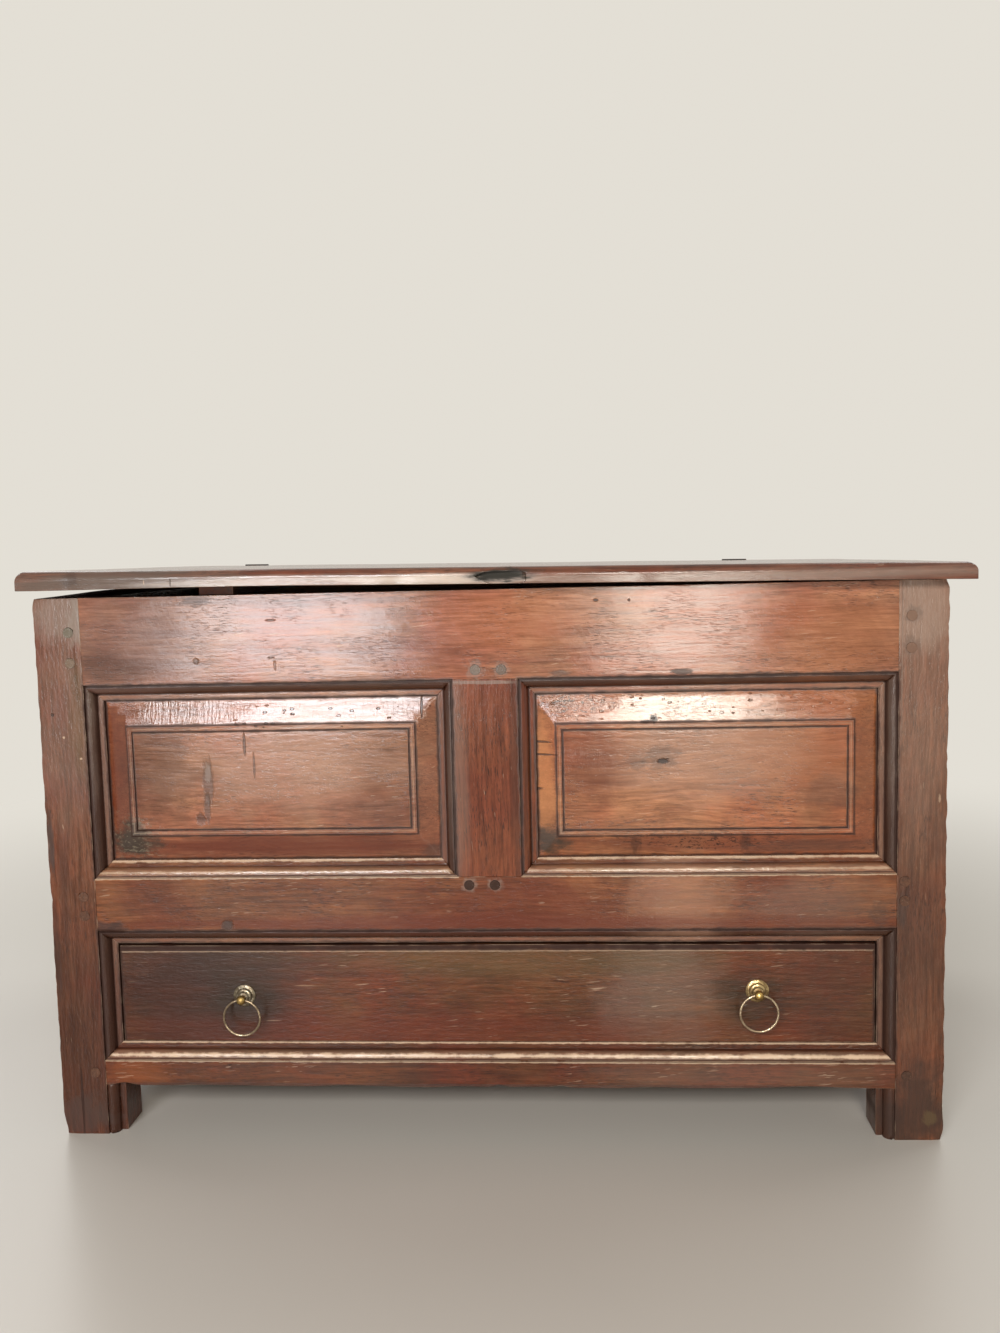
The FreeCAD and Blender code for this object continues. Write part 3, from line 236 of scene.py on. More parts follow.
def field_shift(node):
    """A move of a panel's points that sets its field and bead where the hand left them."""
    field, shifts = FIELDS[node]

    def moved(points):
        shifted = points.copy()
        for axis, zero in ((0, MIDDLE / MM), (2, 0)):
            low, high = field[axis:axis + 2]
            new_low = low + shifts[axis]
            new_high = high + shifts[axis + 1]
            low_end = (low - FAR_AWAY, low - PANEL_EDGE)
            high_end = (high + PANEL_EDGE, high + FAR_AWAY)
            here = (low, low + BEAD_WIDTH, high - BEAD_WIDTH, high)
            there = (new_low, new_low + NARROW_BEAD, new_high - NARROW_BEAD, new_high)
            here = (*low_end, *here, *high_end)
            there = (*low_end, *there, *high_end)
            shifted[:, axis] = (np.interp(points[:, axis] / MM - zero, here, there) + zero) * MM
        return shifted - points + worn(shifted)

    return moved


# -------- dressed pieces

WELD = 1e-6
FLAT_ANGLE = math.radians(0.6)
SHARP_ANGLE = math.radians(32)
ARRIS_ANGLE = math.radians(28)
ARRIS_LENGTH = 6 * MM
ARRIS_WIDTH = 0.4 * MM
ARRIS_STEPS = 2
# no cut is nearer to a piece's end than this share of a cell
END_SHARE = 0.25
# a point this near to a cut lies on it
CUT_REACH = 1e-5
# cells that a piece is cut into: x, y and z in millimetres
PLAIN_CELLS = (14, 14, 14)
FRONT_CELLS = (7, 7, 7)
WORN_CELLS = {
    "front_left_stile": (7, 7, 3),
    "front_right_stile": (7, 7, 3),
    "front_bottom_rail": (4, 7, 7),
    "lid_board": (2, 12, 7),
}


def merged_copy(node):
    """The node's mesh as one closed surface with its flat faces whole."""
    surface = bmesh.new()
    surface.from_mesh(frame["nodes"][node].data)
    bmesh.ops.remove_doubles(surface, verts=surface.verts, dist=WELD)
    bmesh.ops.dissolve_limit(
        surface, angle_limit=FLAT_ANGLE, use_dissolve_boundaries=False,
        verts=surface.verts, edges=surface.edges,
    )
    bmesh.ops.recalc_face_normals(surface, faces=surface.faces)
    return surface


def is_arris(edge):
    """A long sharp edge that stands proud."""
    if len(edge.link_faces) != 2 or edge.calc_length() < ARRIS_LENGTH or not edge.is_convex:
        return False
    return edge.calc_face_angle(0) > ARRIS_ANGLE


def soften_arrises(surface):
    """Rounds the proud edges, and marks the vertices along the middle of the new rounds."""
    arrises = [edge for edge in surface.edges if is_arris(edge)]
    if not arrises:
        return
    mark = surface.verts.layers.float.new("arris")
    made = bmesh.ops.bevel(
        surface, geom=arrises, offset=ARRIS_WIDTH, offset_type="OFFSET", segments=ARRIS_STEPS,
        profile=0.5, affect="EDGES", clamp_overlap=False, loop_slide=False,
    )
    rounds = set(made["faces"])
    for vertex in made["verts"]:
        if vertex.is_valid and all(face in rounds for face in vertex.link_faces):
            vertex[mark] = 1.0


def cut_in_cells(surface, cells):
    """Cuts the faces into cells, so that long pieces can follow the sway."""
    points = np.array([vertex.co for vertex in surface.verts])
    low = points.min(0)
    high = points.max(0)
    for axis, size in enumerate(cells):
        cell = size * MM
        normal = [0, 0, 0]
        normal[axis] = 1
        first = math.ceil(low[axis] / cell + END_SHARE)
        last = math.floor(high[axis] / cell - END_SHARE)
        for step in range(first, last + 1):
            spot = [0, 0, 0]
            spot[axis] = step * cell
            everything = surface.verts[:] + surface.edges[:] + surface.faces[:]
            bmesh.ops.bisect_plane(
                surface, geom=everything, plane_co=spot, plane_no=normal, dist=CUT_REACH,
            )


def move_points(mesh, moved):
    """Moves a mesh's points, and keeps them inside the box of the solids."""
    points = np.empty(len(mesh.vertices) * 3)
    mesh.vertices.foreach_get("co", points)
    points = points.reshape(-1, 3)
    shifted = np.clip(points + moved(points), cad_box[0], cad_box[1])
    mesh.vertices.foreach_set("co", shifted.ravel())
    mesh.update()


def with_even_shading(piece):
    """Lets the large faces set the shading, so that arrises stay narrow."""
    modifier = piece.modifiers.new("even shading", "WEIGHTED_NORMAL")
    modifier.keep_sharp = True
    graph = bpy.context.evaluated_depsgraph_get()
    finished = bpy.data.meshes.new_from_object(piece.evaluated_get(graph))
    rough = piece.data
    piece.modifiers.clear()
    piece.data = finished
    bpy.data.meshes.remove(rough)


def dressed(node, cells=None, moved=sway):
    """A finished copy of a node, which stands for it. With cells it gets soft arrises too."""
    surface = merged_copy(node)
    if cells:
        soften_arrises(surface)
        cut_in_cells(surface, cells)
    mesh = bpy.data.meshes.new(node + "_dressed")
    surface.to_mesh(mesh)
    surface.free()
    if moved:
        move_points(mesh, moved)
    mesh.shade_smooth()
    mesh.set_sharp_from_angle(angle=SHARP_ANGLE)
    piece = new_object(node + "_dressed", mesh)
    if cells:
        with_even_shading(piece)
    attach(piece, BODY_OF[node])
    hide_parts(node)
    return piece


# -------- node wiring


def shade(red, green, blue):
    """A colour as it looks on a screen, 0 to 255, as linear light."""
    linear = [
        (value / 255 / 12.92) if value < 11 else ((value / 255 + 0.055) / 1.055) ** 2.4
        for value in (red, green, blue)
    ]
    return (*linear, 1.0)


def feed(tree, socket, value):
    """Gives a socket a value, another socket's value or a node's first output."""
    if isinstance(value, bpy.types.NodeSocket):
        tree.links.new(value, socket)
    elif isinstance(value, bpy.types.Node):
        tree.links.new(value.outputs[0], socket)
    else:
        socket.default_value = value


def add(tree, kind, inputs=None, **settings):
    node = tree.nodes.new(kind)
    for name, value in settings.items():
        setattr(node, name, value)
    for name, value in (inputs or {}).items():
        feed(tree, node.inputs[name], value)
    return node


def maths(tree, operation, *values):
    return add(tree, "ShaderNodeMath", dict(enumerate(values)), operation=operation).outputs[0]


def times(tree, first, second):
    return maths(tree, "MULTIPLY", first, second)


def vectors(tree, operation, *values):
    node = add(tree, "ShaderNodeVectorMath", dict(enumerate(values)), operation=operation)
    return node.outputs["Value" if operation in ("LENGTH", "DOT_PRODUCT") else "Vector"]


def ramp(tree, value, low, high, at_low=0.0, at_high=1.0, smooth=True):
    inputs = {"Value": value, "From Min": low, "From Max": high, "To Min": at_low, "To Max": at_high}
    kind = "SMOOTHSTEP" if smooth else "LINEAR"
    return add(tree, "ShaderNodeMapRange", inputs, interpolation_type=kind).outputs[0]


def noise(tree, vector, scale, detail=2.0, roughness=0.5, distortion=0.0):
    """Noise of one scale, or of one along each axis."""
    if isinstance(scale, tuple):
        vector = vectors(tree, "MULTIPLY", vector, scale)
        scale = 1.0
    inputs = {"Vector": vector, "Scale": scale, "Detail": detail, "Roughness": roughness}
    return add(tree, "ShaderNodeTexNoise", {**inputs, "Distortion": distortion}).outputs["Fac"]


def mixed(tree, mask, first, second, blend="MIX"):
    inputs = {0: mask, 6: first, 7: second}
    return add(tree, "ShaderNodeMix", inputs, data_type="RGBA", blend_type=blend).outputs[2]


def new_group(name, inputs, outputs):
    """A node group, from its inputs' names and defaults and its outputs' names."""
    group = bpy.data.node_groups.new(name, "ShaderNodeTree")
    for label, default in inputs.items():
        kind = "NodeSocketVector" if isinstance(default, tuple) else "NodeSocketFloat"
        socket = group.interface.new_socket(label, in_out="INPUT", socket_type=kind)
        socket.default_value = default
    for label in outputs:
        group.interface.new_socket(label, in_out="OUTPUT", socket_type="NodeSocketFloat")
    given = group.nodes.new("NodeGroupInput").outputs
    made = group.nodes.new("NodeGroupOutput").inputs
    return group, given, made


def use(tree, group, inputs):
    return add(tree, "ShaderNodeGroup", inputs, node_tree=group)


def ragged(tree, distance, vector, scale, size, amount):
    """A distance with noise added, so that what it draws gets a ragged edge."""
    rough = maths(tree, "SUBTRACT", noise(tree, vector, scale, 4, 0.6), 0.5)
    return maths(tree, "MULTIPLY_ADD", times(tree, rough, amount), size, distance)


# -------- shared effects

ORIGIN = (0, 0, 0)
HOLE_CELLS = 240
HOLE_SIZE = 0.26


def grain_group():
    """Oak's own pattern, with the fibres along X: broad streaks, fine fibre, pores and curl."""
    tree, given, made = new_group(
        "Oak Grain",
        {"Vector": ORIGIN, "Wander": 0.012},
        ("Streaks", "Fibre", "Pores", "Mottle", "Curl"),
    )
    along = given["Vector"]
    slow = vectors(tree, "MULTIPLY", along, (5, 15, 15))
    drift = add(tree, "ShaderNodeTexNoise", {"Vector": slow, "Scale": 1.0, "Detail": 2.0})
    drift = vectors(tree, "SUBTRACT", drift.outputs["Color"], (0.5, 0.5, 0.5))
    drift = add(tree, "ShaderNodeVectorMath", {0: drift, "Scale": given["Wander"]}, operation="SCALE")
    bent = vectors(tree, "ADD", along, drift)

    streaks = noise(tree, bent, (9, 150, 150), 3, 0.6)
    fibre = noise(tree, bent, (26, 450, 450), 4, 0.75)
    pores = ramp(tree, noise(tree, bent, (150, 1900, 1900), 1), 0.56, 0.68)
    patches = ramp(tree, noise(tree, bent, (22, 30, 30)), 0.42, 0.6)
    mottle = noise(tree, bent, (11, 26, 26), 4, 0.6)
    turned = add(tree, "ShaderNodeMapping", {"Vector": bent, "Rotation": (0, 0.5, 0.5)})
    curl = noise(tree, turned, (230, 30, 30), 2, 0.5, 0.7)
    feed(tree, made["Streaks"], ramp(tree, streaks, 0.3, 0.7))
    feed(tree, made["Fibre"], ramp(tree, fibre, 0.32, 0.68, smooth=False))
    feed(tree, made["Pores"], times(tree, pores, patches))
    feed(tree, made["Mottle"], ramp(tree, mottle, 0.3, 0.7))
    feed(tree, made["Curl"], ramp(tree, curl, 0.3, 0.7))
    return tree


def spot_group():
    """A mask that is 1 within a ragged oval and 0 outside it."""
    inputs = {"Vector": ORIGIN, "Centre": ORIGIN, "Radii": (1, 1, 1), "Softness": 1.0, "Raggedness": 1.0}
    tree, given, made = new_group("Ragged Spot", inputs, ("Mask",))
    offset = vectors(tree, "SUBTRACT", given["Vector"], given["Centre"])
    share = vectors(tree, "DIVIDE", offset, given["Radii"])
    seeded = vectors(tree, "MULTIPLY_ADD", given["Centre"], (190, 190, 190), share)
    reach = ragged(tree, vectors(tree, "LENGTH", share), seeded, 1.7, 2.0, given["Raggedness"])
    start = maths(tree, "SUBTRACT", 1.0, given["Softness"])
    end = maths(tree, "ADD", 1.0, given["Softness"])
    feed(tree, made["Mask"], ramp(tree, reach, start, end, 1, 0))
    return tree


def opening_group():
    """How far a point lies outside an upright opening, measured on the front."""
    inputs = {"Vector": ORIGIN, "Centre": ORIGIN, "Half": (1, 1, 1)}
    tree, given, made = new_group("Distance From Opening", inputs, ("Distance",))
    offset = vectors(tree, "SUBTRACT", given["Vector"], given["Centre"])
    offset = vectors(tree, "SUBTRACT", vectors(tree, "ABSOLUTE", offset), given["Half"])
    parts = add(tree, "ShaderNodeSeparateXYZ", {0: offset}).outputs
    feed(tree, made["Distance"], maths(tree, "MAXIMUM", parts["X"], parts["Z"]))
    return tree


def line_group():
    """A thin ragged line at one distance."""
    inputs = {"Vector": ORIGIN, "Distance": 0.0, "At": 0.0, "Width": 0.001, "Raggedness": 1.0}
    tree, given, made = new_group("Ragged Line", inputs, ("Mask",))
    away = maths(tree, "SUBTRACT", given["Distance"], given["At"])
    away = maths(tree, "DIVIDE", maths(tree, "ABSOLUTE", away), given["Width"])
    reach = ragged(tree, away, given["Vector"], 110, 2.4, given["Raggedness"])
    feed(tree, made["Mask"], ramp(tree, reach, 0.1, 1.4, 1, 0))
    return tree


def hole_group():
    """Small round worm holes and dents, a random share of one to each cell."""
    tree, given, made = new_group("Worm Holes", {"Vector": ORIGIN}, ("Mask",))
    inputs = {"Vector": given["Vector"], "Scale": HOLE_CELLS, "Randomness": 1.0}
    cells = add(tree, "ShaderNodeTexVoronoi", inputs).outputs
    away = maths(tree, "DIVIDE", cells["Distance"], HOLE_SIZE)
    chosen = add(tree, "ShaderNodeSeparateColor", {0: cells["Color"]})
    holes = ramp(tree, away, 0.7, 1, 1, 0)
    feed(tree, made["Mask"], times(tree, holes, ramp(tree, chosen, 0.5, 0.55)))
    return tree


def scratch_group():
    """Short fine scratches along X, in patches."""
    tree, given, made = new_group("Scratches", {"Vector": ORIGIN, "Amount": 0.5}, ("Mask",))
    tilted = add(tree, "ShaderNodeMapping", {"Vector": given["Vector"], "Rotation": (0, 0.09, 0)})
    fine = noise(tree, tilted, (70, 1000, 1000), 1)
    patches = ramp(tree, noise(tree, given["Vector"], 26), 0.45, 0.6)
    start = maths(tree, "MULTIPLY_ADD", given["Amount"], -0.12, 0.76)
    end = maths(tree, "ADD", start, 0.05)
    feed(tree, made["Mask"], times(tree, ramp(tree, fine, start, end), patches))
    return tree


GRAIN = grain_group()
SPOT = spot_group()
OPENING = opening_group()
LINE = line_group()
HOLES = hole_group()
SCRATCHES = scratch_group()

# -------- oak

ALONG_X = (0, 0, 0)
ALONG_Y = (0, 0, math.radians(-90))
ALONG_Z = (0, math.radians(90), 0)
GRAINS = {"x": ALONG_X, "y": ALONG_Y, "z": ALONG_Z}

DIRT_AND_SHADE = shade(44, 20, 9)
GREEN_DIRT = shade(38, 33, 23)
KNOT_AND_SHADE = shade(42, 22, 13)
UMBER_AND_SHADE = shade(52, 28, 18)
PORE = shade(42, 20, 11)
SMOKE = shade(58, 44, 38)
OXBLOOD = shade(92, 38, 20)
ORANGE = shade(150, 84, 42)
LIT_GOLD = shade(186, 124, 76)
OLIVE = shade(92, 74, 46)
BLOOM = shade(124, 106, 94)
BARE_AND_HIGHLIGHT = shade(200, 172, 144)
HIGHLIGHT_CHALK = shade(224, 212, 196)


def field_edges(node):
    """A raised field's edges as the hand left them."""
    return tuple(edge + shift for edge, shift in zip(*FIELDS[node]))


# left, right, low and high edges of the openings and the fields, in millimetres
OPENINGS = {
    "left panel": (-313, -22.95, 212, 366.5),
    "right panel": (27.55, 313, 212, 366.5),
    "drawer": (-313, 313, 62, 169.5),
    "left field": field_edges("front_left_panel"),
    "right field": field_edges("front_right_panel"),
    "drawer face": (-299.3, 299.3, 60, 153.4),
    "drawer top": (-330, 330, -100, 153.4),
}
# dark lines round an opening, grime and painted shade in its quirks and grooves: distance inwards and
# half width in millimetres, strength
MOULDING_LINES = ((0.6, 2.0, 0.95), (7.7, 1.2, 0.75), (12.9, 1.8, 0.9))
LOWER_MOULDING_LINES = ((1.2, 1.3, 0.7), (7.7, 1.2, 0.35), (14.2, 1.4, 0.8))
BEAD_LINES = ((-0.2, 1.3, 0.85), (4.9, 1.2, 0.9))
# painted shadow of the gap round the drawer front, at its edges and above it
DRAWER_LINES = ((0.2, 1.8, 0.95),)
DRAWER_GAP = ((1.5, 3.0, 1.0),)
DARK_RAGGEDNESS = 0.8
# bright lines, as above: painted highlights on the crests of the ovolos and the bead and on the arrises,
# with the pale chipped edge of the fillets
PANEL_FOOT_RUBS = ((-0.2, 0.7, 0.7), (4.4, 0.9, 0.5), (12.0, 1.3, 0.7))
DRAWER_FOOT_RUBS = ((-0.2, 0.7, 0.7), (4.4, 1.5, 0.95), (12.4, 0.9, 0.8))
BEAD_RUBS = ((2.5, 0.5, 0.2),)
DRAWER_RUBS = ((4.2, 0.55, 0.65),)
BRIGHT_LINE_RAGGEDNESS = 1.3
# coloured bands round an opening: painted shade on the ovolos facing down and sideways, a lighter
# painted shade on the muntin's right one, a painted highlight on those facing up, and the fillets' tone:
# inner and outer distance, strength, colour
SHADED_MOULDING = ((0.8, 7.8, 0.85, KNOT_AND_SHADE), (8.2, 12.4, 0.25, BLOOM))
LIT_FOOT_MOULDING = ((1.6, 7.4, 0.15, BARE_AND_HIGHLIGHT), (8.2, 12.4, 0.2, UMBER_AND_SHADE))
LIT_MOULDING = ((1.0, 7.8, 0.3, UMBER_AND_SHADE),)
BAND_BLUR = 0.3
# marks: softness and raggedness of the edge, added roughness, height in millimetres
MARKS = {
    "stain": (0.35, 0.9, 0.16, 0),
    "tint": (0.6, 0.7, 0, 0),
    "sunk": (0.3, 0.6, 0.2, -0.5),
    "grime": (0.6, 1.3, 0.45, 0),
    "holes": (0.3, 0.9, 0, -0.5),
    "crinkle": (0.5, 0.5, 0, 0.45),
    "crumble": (0.4, 1.0, 0, -0.3),
}
OAK_IOR = 1.55


def new_material(name):
    material = bpy.data.materials.new(name)
    material.use_nodes = True
    tree = material.node_tree
    return material, tree, tree.nodes["Principled BSDF"]


class Finish:
    """A material in the making: its colour, roughness and height over the surface."""

    def __init__(self, name):
        self.material, self.tree, self.surface = new_material(name)
        self.spot = add(self.tree, "ShaderNodeTexCoord").outputs["Object"]
        self.colour = None
        self.roughness = None
        self.height = 0.0

    def tint(self, mask, colour, blend="MIX"):
        self.colour = mixed(self.tree, mask, self.colour, colour, blend)

    def roughen(self, mask, amount):
        self.roughness = maths(self.tree, "MULTIPLY_ADD", mask, amount, self.roughness)

    def lift(self, mask, height):
        self.height = maths(self.tree, "MULTIPLY_ADD", mask, height, self.height)

    def done(self, relief, settings):
        """Wires it all up. A height of 1 stands for the relief, in millimetres."""
        inputs = {"Height": self.height, "Distance": MM * relief, "Strength": 1.0}
        bump = add(self.tree, "ShaderNodeBump", inputs)
        look = {"Base Color": self.colour, "Roughness": self.roughness, "Normal": bump, **settings}
        for name, value in look.items():
            feed(self.tree, self.surface.inputs[name], value)
        return self.material


def distance_from(wood, opening):
    left, right, low, high = OPENINGS[opening]
    centre = place((left + right) / 2, 0, (low + high) / 2)
    half = ((right - left) / 2 * MM, -1, (high - low) / 2 * MM)
    return use(wood.tree, OPENING, {"Vector": wood.spot, "Centre": centre, "Half": half}).outputs[0]


def lined(wood, lines, raggedness):
    """Thin lines along the named mouldings, such as grime and painted shade in their quirks and painted
    highlights on their crests.
    """
    tree = wood.tree
    drawn = 0.0
    for opening, table in lines:
        away = distance_from(wood, opening)
        for inward, half, strength in table:
            inputs = {"Vector": wood.spot, "Distance": away, "Raggedness": raggedness}
            inputs = {**inputs, "At": -inward * MM, "Width": half * MM}
            line = times(tree, use(tree, LINE, inputs), strength)
            drawn = maths(tree, "MAXIMUM", drawn, line)
    return drawn


def case_top(tree, spot):
    """The top of the case behind its front edge, which lies under the lid."""
    parts = add(tree, "ShaderNodeSeparateXYZ", {0: spot}).outputs
    high = ramp(tree, parts["Z"], 433.8 * MM, 434.4 * MM)
    behind = ramp(tree, parts["Y"], FRONT + 1.0 * MM, FRONT + 2.4 * MM)
    return times(tree, high, behind)


def lid_underside(tree, spot):
    """The face of the lid that closes the chest, behind the rounded front edge."""
    level = vectors(tree, "DOT_PRODUCT", spot, (LID_RISE, 0, 1))
    lowest = (LID_LOW + HALF_WIDTH * LID_RISE) * MM + LID_RISE * MIDDLE
    low = ramp(tree, level, lowest + 2 * MM, lowest + 4 * MM, 1, 0)
    depth = add(tree, "ShaderNodeSeparateXYZ", {0: spot}).outputs["Y"]
    return times(tree, low, ramp(tree, depth, FRONT - 4 * MM, FRONT + 4 * MM))


# faces that were never waxed, rougher, where the case's top under the lid is also darkened as painted
# shade: mask, strength, colour, added roughness
SHADED_BARE_TOP = (case_top, 0.72, UMBER_AND_SHADE, 0.9)
BARE_UNDERSIDE = (lid_underside, 0.4, shade(120, 88, 62), 1.3)


def add_figure(wood, fibres, dark, light, red, roughness, wander, ripple):
    """The wood's own colour, sheen and relief."""
    tree = wood.tree
    figure = use(tree, GRAIN, {"Vector": fibres, "Wander": wander}).outputs
    tone = maths(tree, "MULTIPLY_ADD", figure["Streaks"], 0.5, times(tree, figure["Mottle"], 0.5))
    wood.colour = mixed(tree, tone, dark, light)
    wood.tint(ramp(tree, noise(tree, fibres, 12, 4, 0.6), 0.4, 0.64, 0, 0.65), red)
    value = ramp(tree, figure["Fibre"], 0, 1, 0.6, 1.4, smooth=False)
    value = times(tree, value, ramp(tree, figure["Curl"], 0, 1, 0.96, 1.04))
    wood.tint(1.0, add(tree, "ShaderNodeCombineColor", {0: value, 1: value, 2: value}), "MULTIPLY")
    wood.tint(times(tree, figure["Pores"], 0.8), PORE)
    waves = ramp(tree, noise(tree, fibres, (130, 430, 430), 2, 0.6), 0.35, 0.65)
    waves = times(tree, waves, ripple)
    wood.tint(times(tree, waves, 0.5), BARE_AND_HIGHLIGHT, "SOFT_LIGHT")
    wood.lift(waves, 0.09)
    for name, height in (("Fibre", 0.022), ("Pores", -0.02), ("Streaks", 0.03), ("Curl", 0.006)):
        wood.lift(figure[name], height)
    wood.lift(noise(tree, fibres, (24, 60, 60)), 0.1)
    wood.roughness = ramp(tree, figure["Fibre"], 0.2, 0.8, *roughness)
    wood.roughen(figure["Mottle"], 0.04)


def add_bands(wood, opening, table):
    """Coloured bands along the moulding of an opening: painted shade and painted highlight on its
    ovolos, and the fillets' tone.
    """
    tree = wood.tree
    away = distance_from(wood, opening)
    for inner, outer, strength, tint in table:
        begun = ramp(tree, away, (-outer - BAND_BLUR) * MM, (-outer + BAND_BLUR) * MM, 0, strength)
        not_over = ramp(tree, away, (-inner - BAND_BLUR) * MM, (-inner + BAND_BLUR) * MM, 1, 0)
        wood.tint(times(tree, begun, not_over), tint)


def add_mark(wood, fibres, in_front, kind, across, up, wide, high, share, tint):
    """One mark: a stain, a piece of damage, a painted highlight or painted shade. A crinkle has no
    colour.
    """
    tree = wood.tree
    softness, raggedness, rougher, height = MARKS[kind]
    inputs = {"Vector": wood.spot, "Softness": softness, "Raggedness": raggedness}
    inputs = {**inputs, "Centre": place(across, 0, up), "Radii": (wide * MM, 1.0, high * MM)}
    oval = use(tree, SPOT, inputs)
    strength = times(tree, in_front, share)
    if kind == "holes":
        stretched = vectors(tree, "MULTIPLY", fibres, (0.55, 1, 1))
        mask = times(tree, use(tree, HOLES, {"Vector": stretched}), times(tree, oval, in_front))
        wood.tint(times(tree, mask, strength), tint)
        wood.lift(mask, height)
    elif kind == "crinkle":
        crinkled = noise(tree, fibres, (420, 75, 75), 3, 0.6, 0.5)
        wood.lift(times(tree, crinkled, times(tree, oval, strength)), height)
    elif kind == "crumble":
        specks = noise(tree, fibres, (260, 520, 520), 3, 0.7)
        dark_specks = times(tree, ramp(tree, specks, 0.52, 0.62), oval)
        wood.tint(times(tree, dark_specks, strength), tint)
        wood.lift(times(tree, specks, oval), height)
    else:
        mask = times(tree, oval, strength)
        wood.tint(mask, tint)
        if rougher:
            wood.roughen(mask, rougher)
        if height:
            wood.lift(mask, height)


def oak(name, grain, dark, light, red=OXBLOOD, gloss=0.36, roughness=(0.1, 0.17), lines=(), rubs_and_highlights=(),
        bands=(), marks=(), deep=22, relief=1.0, ripple=0.35, scratched=0.3, wander=0.012,
        unwaxed_and_shaded=()):
    """Waxed or dry oak with its fibres along one axis, from a dark and a light tone.

    lines, rubs_and_highlights and bands are (opening, table), and marks (kind, across, up, half
    width, half height, strength, colour) of the stains, damage and painted light and shade on the
    front. These reach as deep into the piece as given, in millimetres behind the front of the case.
    """
    wood = Finish(name)
    tree = wood.tree
    chance = random.Random(name)
    shift = [chance.uniform(-3, 3) for _ in range(3)]
    turned = add(tree, "ShaderNodeMapping", {"Vector": wood.spot, "Rotation": grain, "Location": shift})
    fibres = turned.outputs[0]
    add_figure(wood, fibres, dark, light, red, roughness, wander, ripple)
    scratches = use(tree, SCRATCHES, {"Vector": fibres, "Amount": scratched})
    wood.tint(times(tree, scratches, 0.45), BARE_AND_HIGHLIGHT)
    wood.lift(scratches, -0.012)

    for band in bands:
        add_bands(wood, *band)
    depth = add(tree, "ShaderNodeSeparateXYZ", {0: wood.spot}).outputs["Y"]
    in_front = ramp(tree, depth, FRONT + (deep - 1) * MM, FRONT + deep * MM, 1, 0)
    for mark in marks:
        add_mark(wood, fibres, in_front, *mark)
    # bright lines along the mouldings: painted highlights, with pale worn edges
    wood.tint(lined(wood, rubs_and_highlights, BRIGHT_LINE_RAGGEDNESS), BARE_AND_HIGHLIGHT)
    # dark lines along the mouldings: grime and painted shade in the quirks, and the painted shadow of
    # the drawer's gap
    dark_lines = lined(wood, lines, DARK_RAGGEDNESS)
    wood.tint(dark_lines, DIRT_AND_SHADE)
    wood.roughen(dark_lines, 0.5)
    # never-waxed faces turn rougher; on the case's top under the lid the darkening is painted shade
    for face, strength, tint, rougher in unwaxed_and_shaded:
        mask = times(tree, face(tree, wood.spot), strength)
        wood.tint(mask, tint)
        wood.roughen(mask, rougher)

    arris = add(tree, "ShaderNodeAttribute", attribute_name="arris").outputs["Fac"]
    patches = ramp(tree, noise(tree, wood.spot, 60, 3), 0.42, 0.66, 0, 0.5)
    wood.tint(times(tree, arris, patches), BARE_AND_HIGHLIGHT)
    return wood.done(relief, {"Specular IOR Level": gloss, "IOR": OAK_IOR})


def along(openings, table):
    """The same lines or bands along several openings."""
    return [(opening, table) for opening in openings]


PANELS = ("left panel", "right panel")


def top_rail_oak():
    marks = [
        ("tint", -275, 400, 52, 46, 0.65, shade(96, 70, 62)),
        ("tint", -290, 380, 30, 12, 0.4, UMBER_AND_SHADE),
        ("tint", 30, 412, 50, 20, 0.4, ORANGE),
        ("tint", 262, 395, 60, 30, 0.35, ORANGE),
        ("tint", -60, 385, 50, 14, 0.35, OXBLOOD),
        ("tint", -150, 430, 90, 5, 0.4, SMOKE),
        ("stain", -220, 431, 12, 4, 0.6, SMOKE),
        ("sunk", -162, 415, 3.5, 0.8, 0.7, KNOT_AND_SHADE),
        ("sunk", -163, 386, 2.4, 0.7, 0.7, KNOT_AND_SHADE),
        ("sunk", -160, 380, 1, 3.4, 0.5, KNOT_AND_SHADE),
        ("sunk", -222, 384.5, 2.2, 2.2, 0.6, SMOKE),
        ("sunk", 88, 425, 1.8, 1, 0.9, KNOT_AND_SHADE),
        ("sunk", 113, 424.5, 0.9, 0.9, 0.9, KNOT_AND_SHADE),
        ("stain", 152, 369.5, 8, 2.4, 0.9, DIRT_AND_SHADE),
        ("stain", 60, 370, 7, 2, 0.6, DIRT_AND_SHADE),
        ("stain", -4.9, 373.7, 6.6, 6.6, 0.4, BLOOM),
        ("stain", 15.1, 373.7, 5.6, 5.6, 0.4, BLOOM),
    ]
    return oak(
        "top rail oak", ALONG_X, shade(116, 74, 54), shade(158, 110, 80), shade(140, 78, 56),
        lines=along(PANELS, MOULDING_LINES), bands=along(PANELS, SHADED_MOULDING), marks=marks,
        gloss=0.4, roughness=(0.09, 0.15), ripple=0.12, scratched=0.5, unwaxed_and_shaded=[SHADED_BARE_TOP],
    )


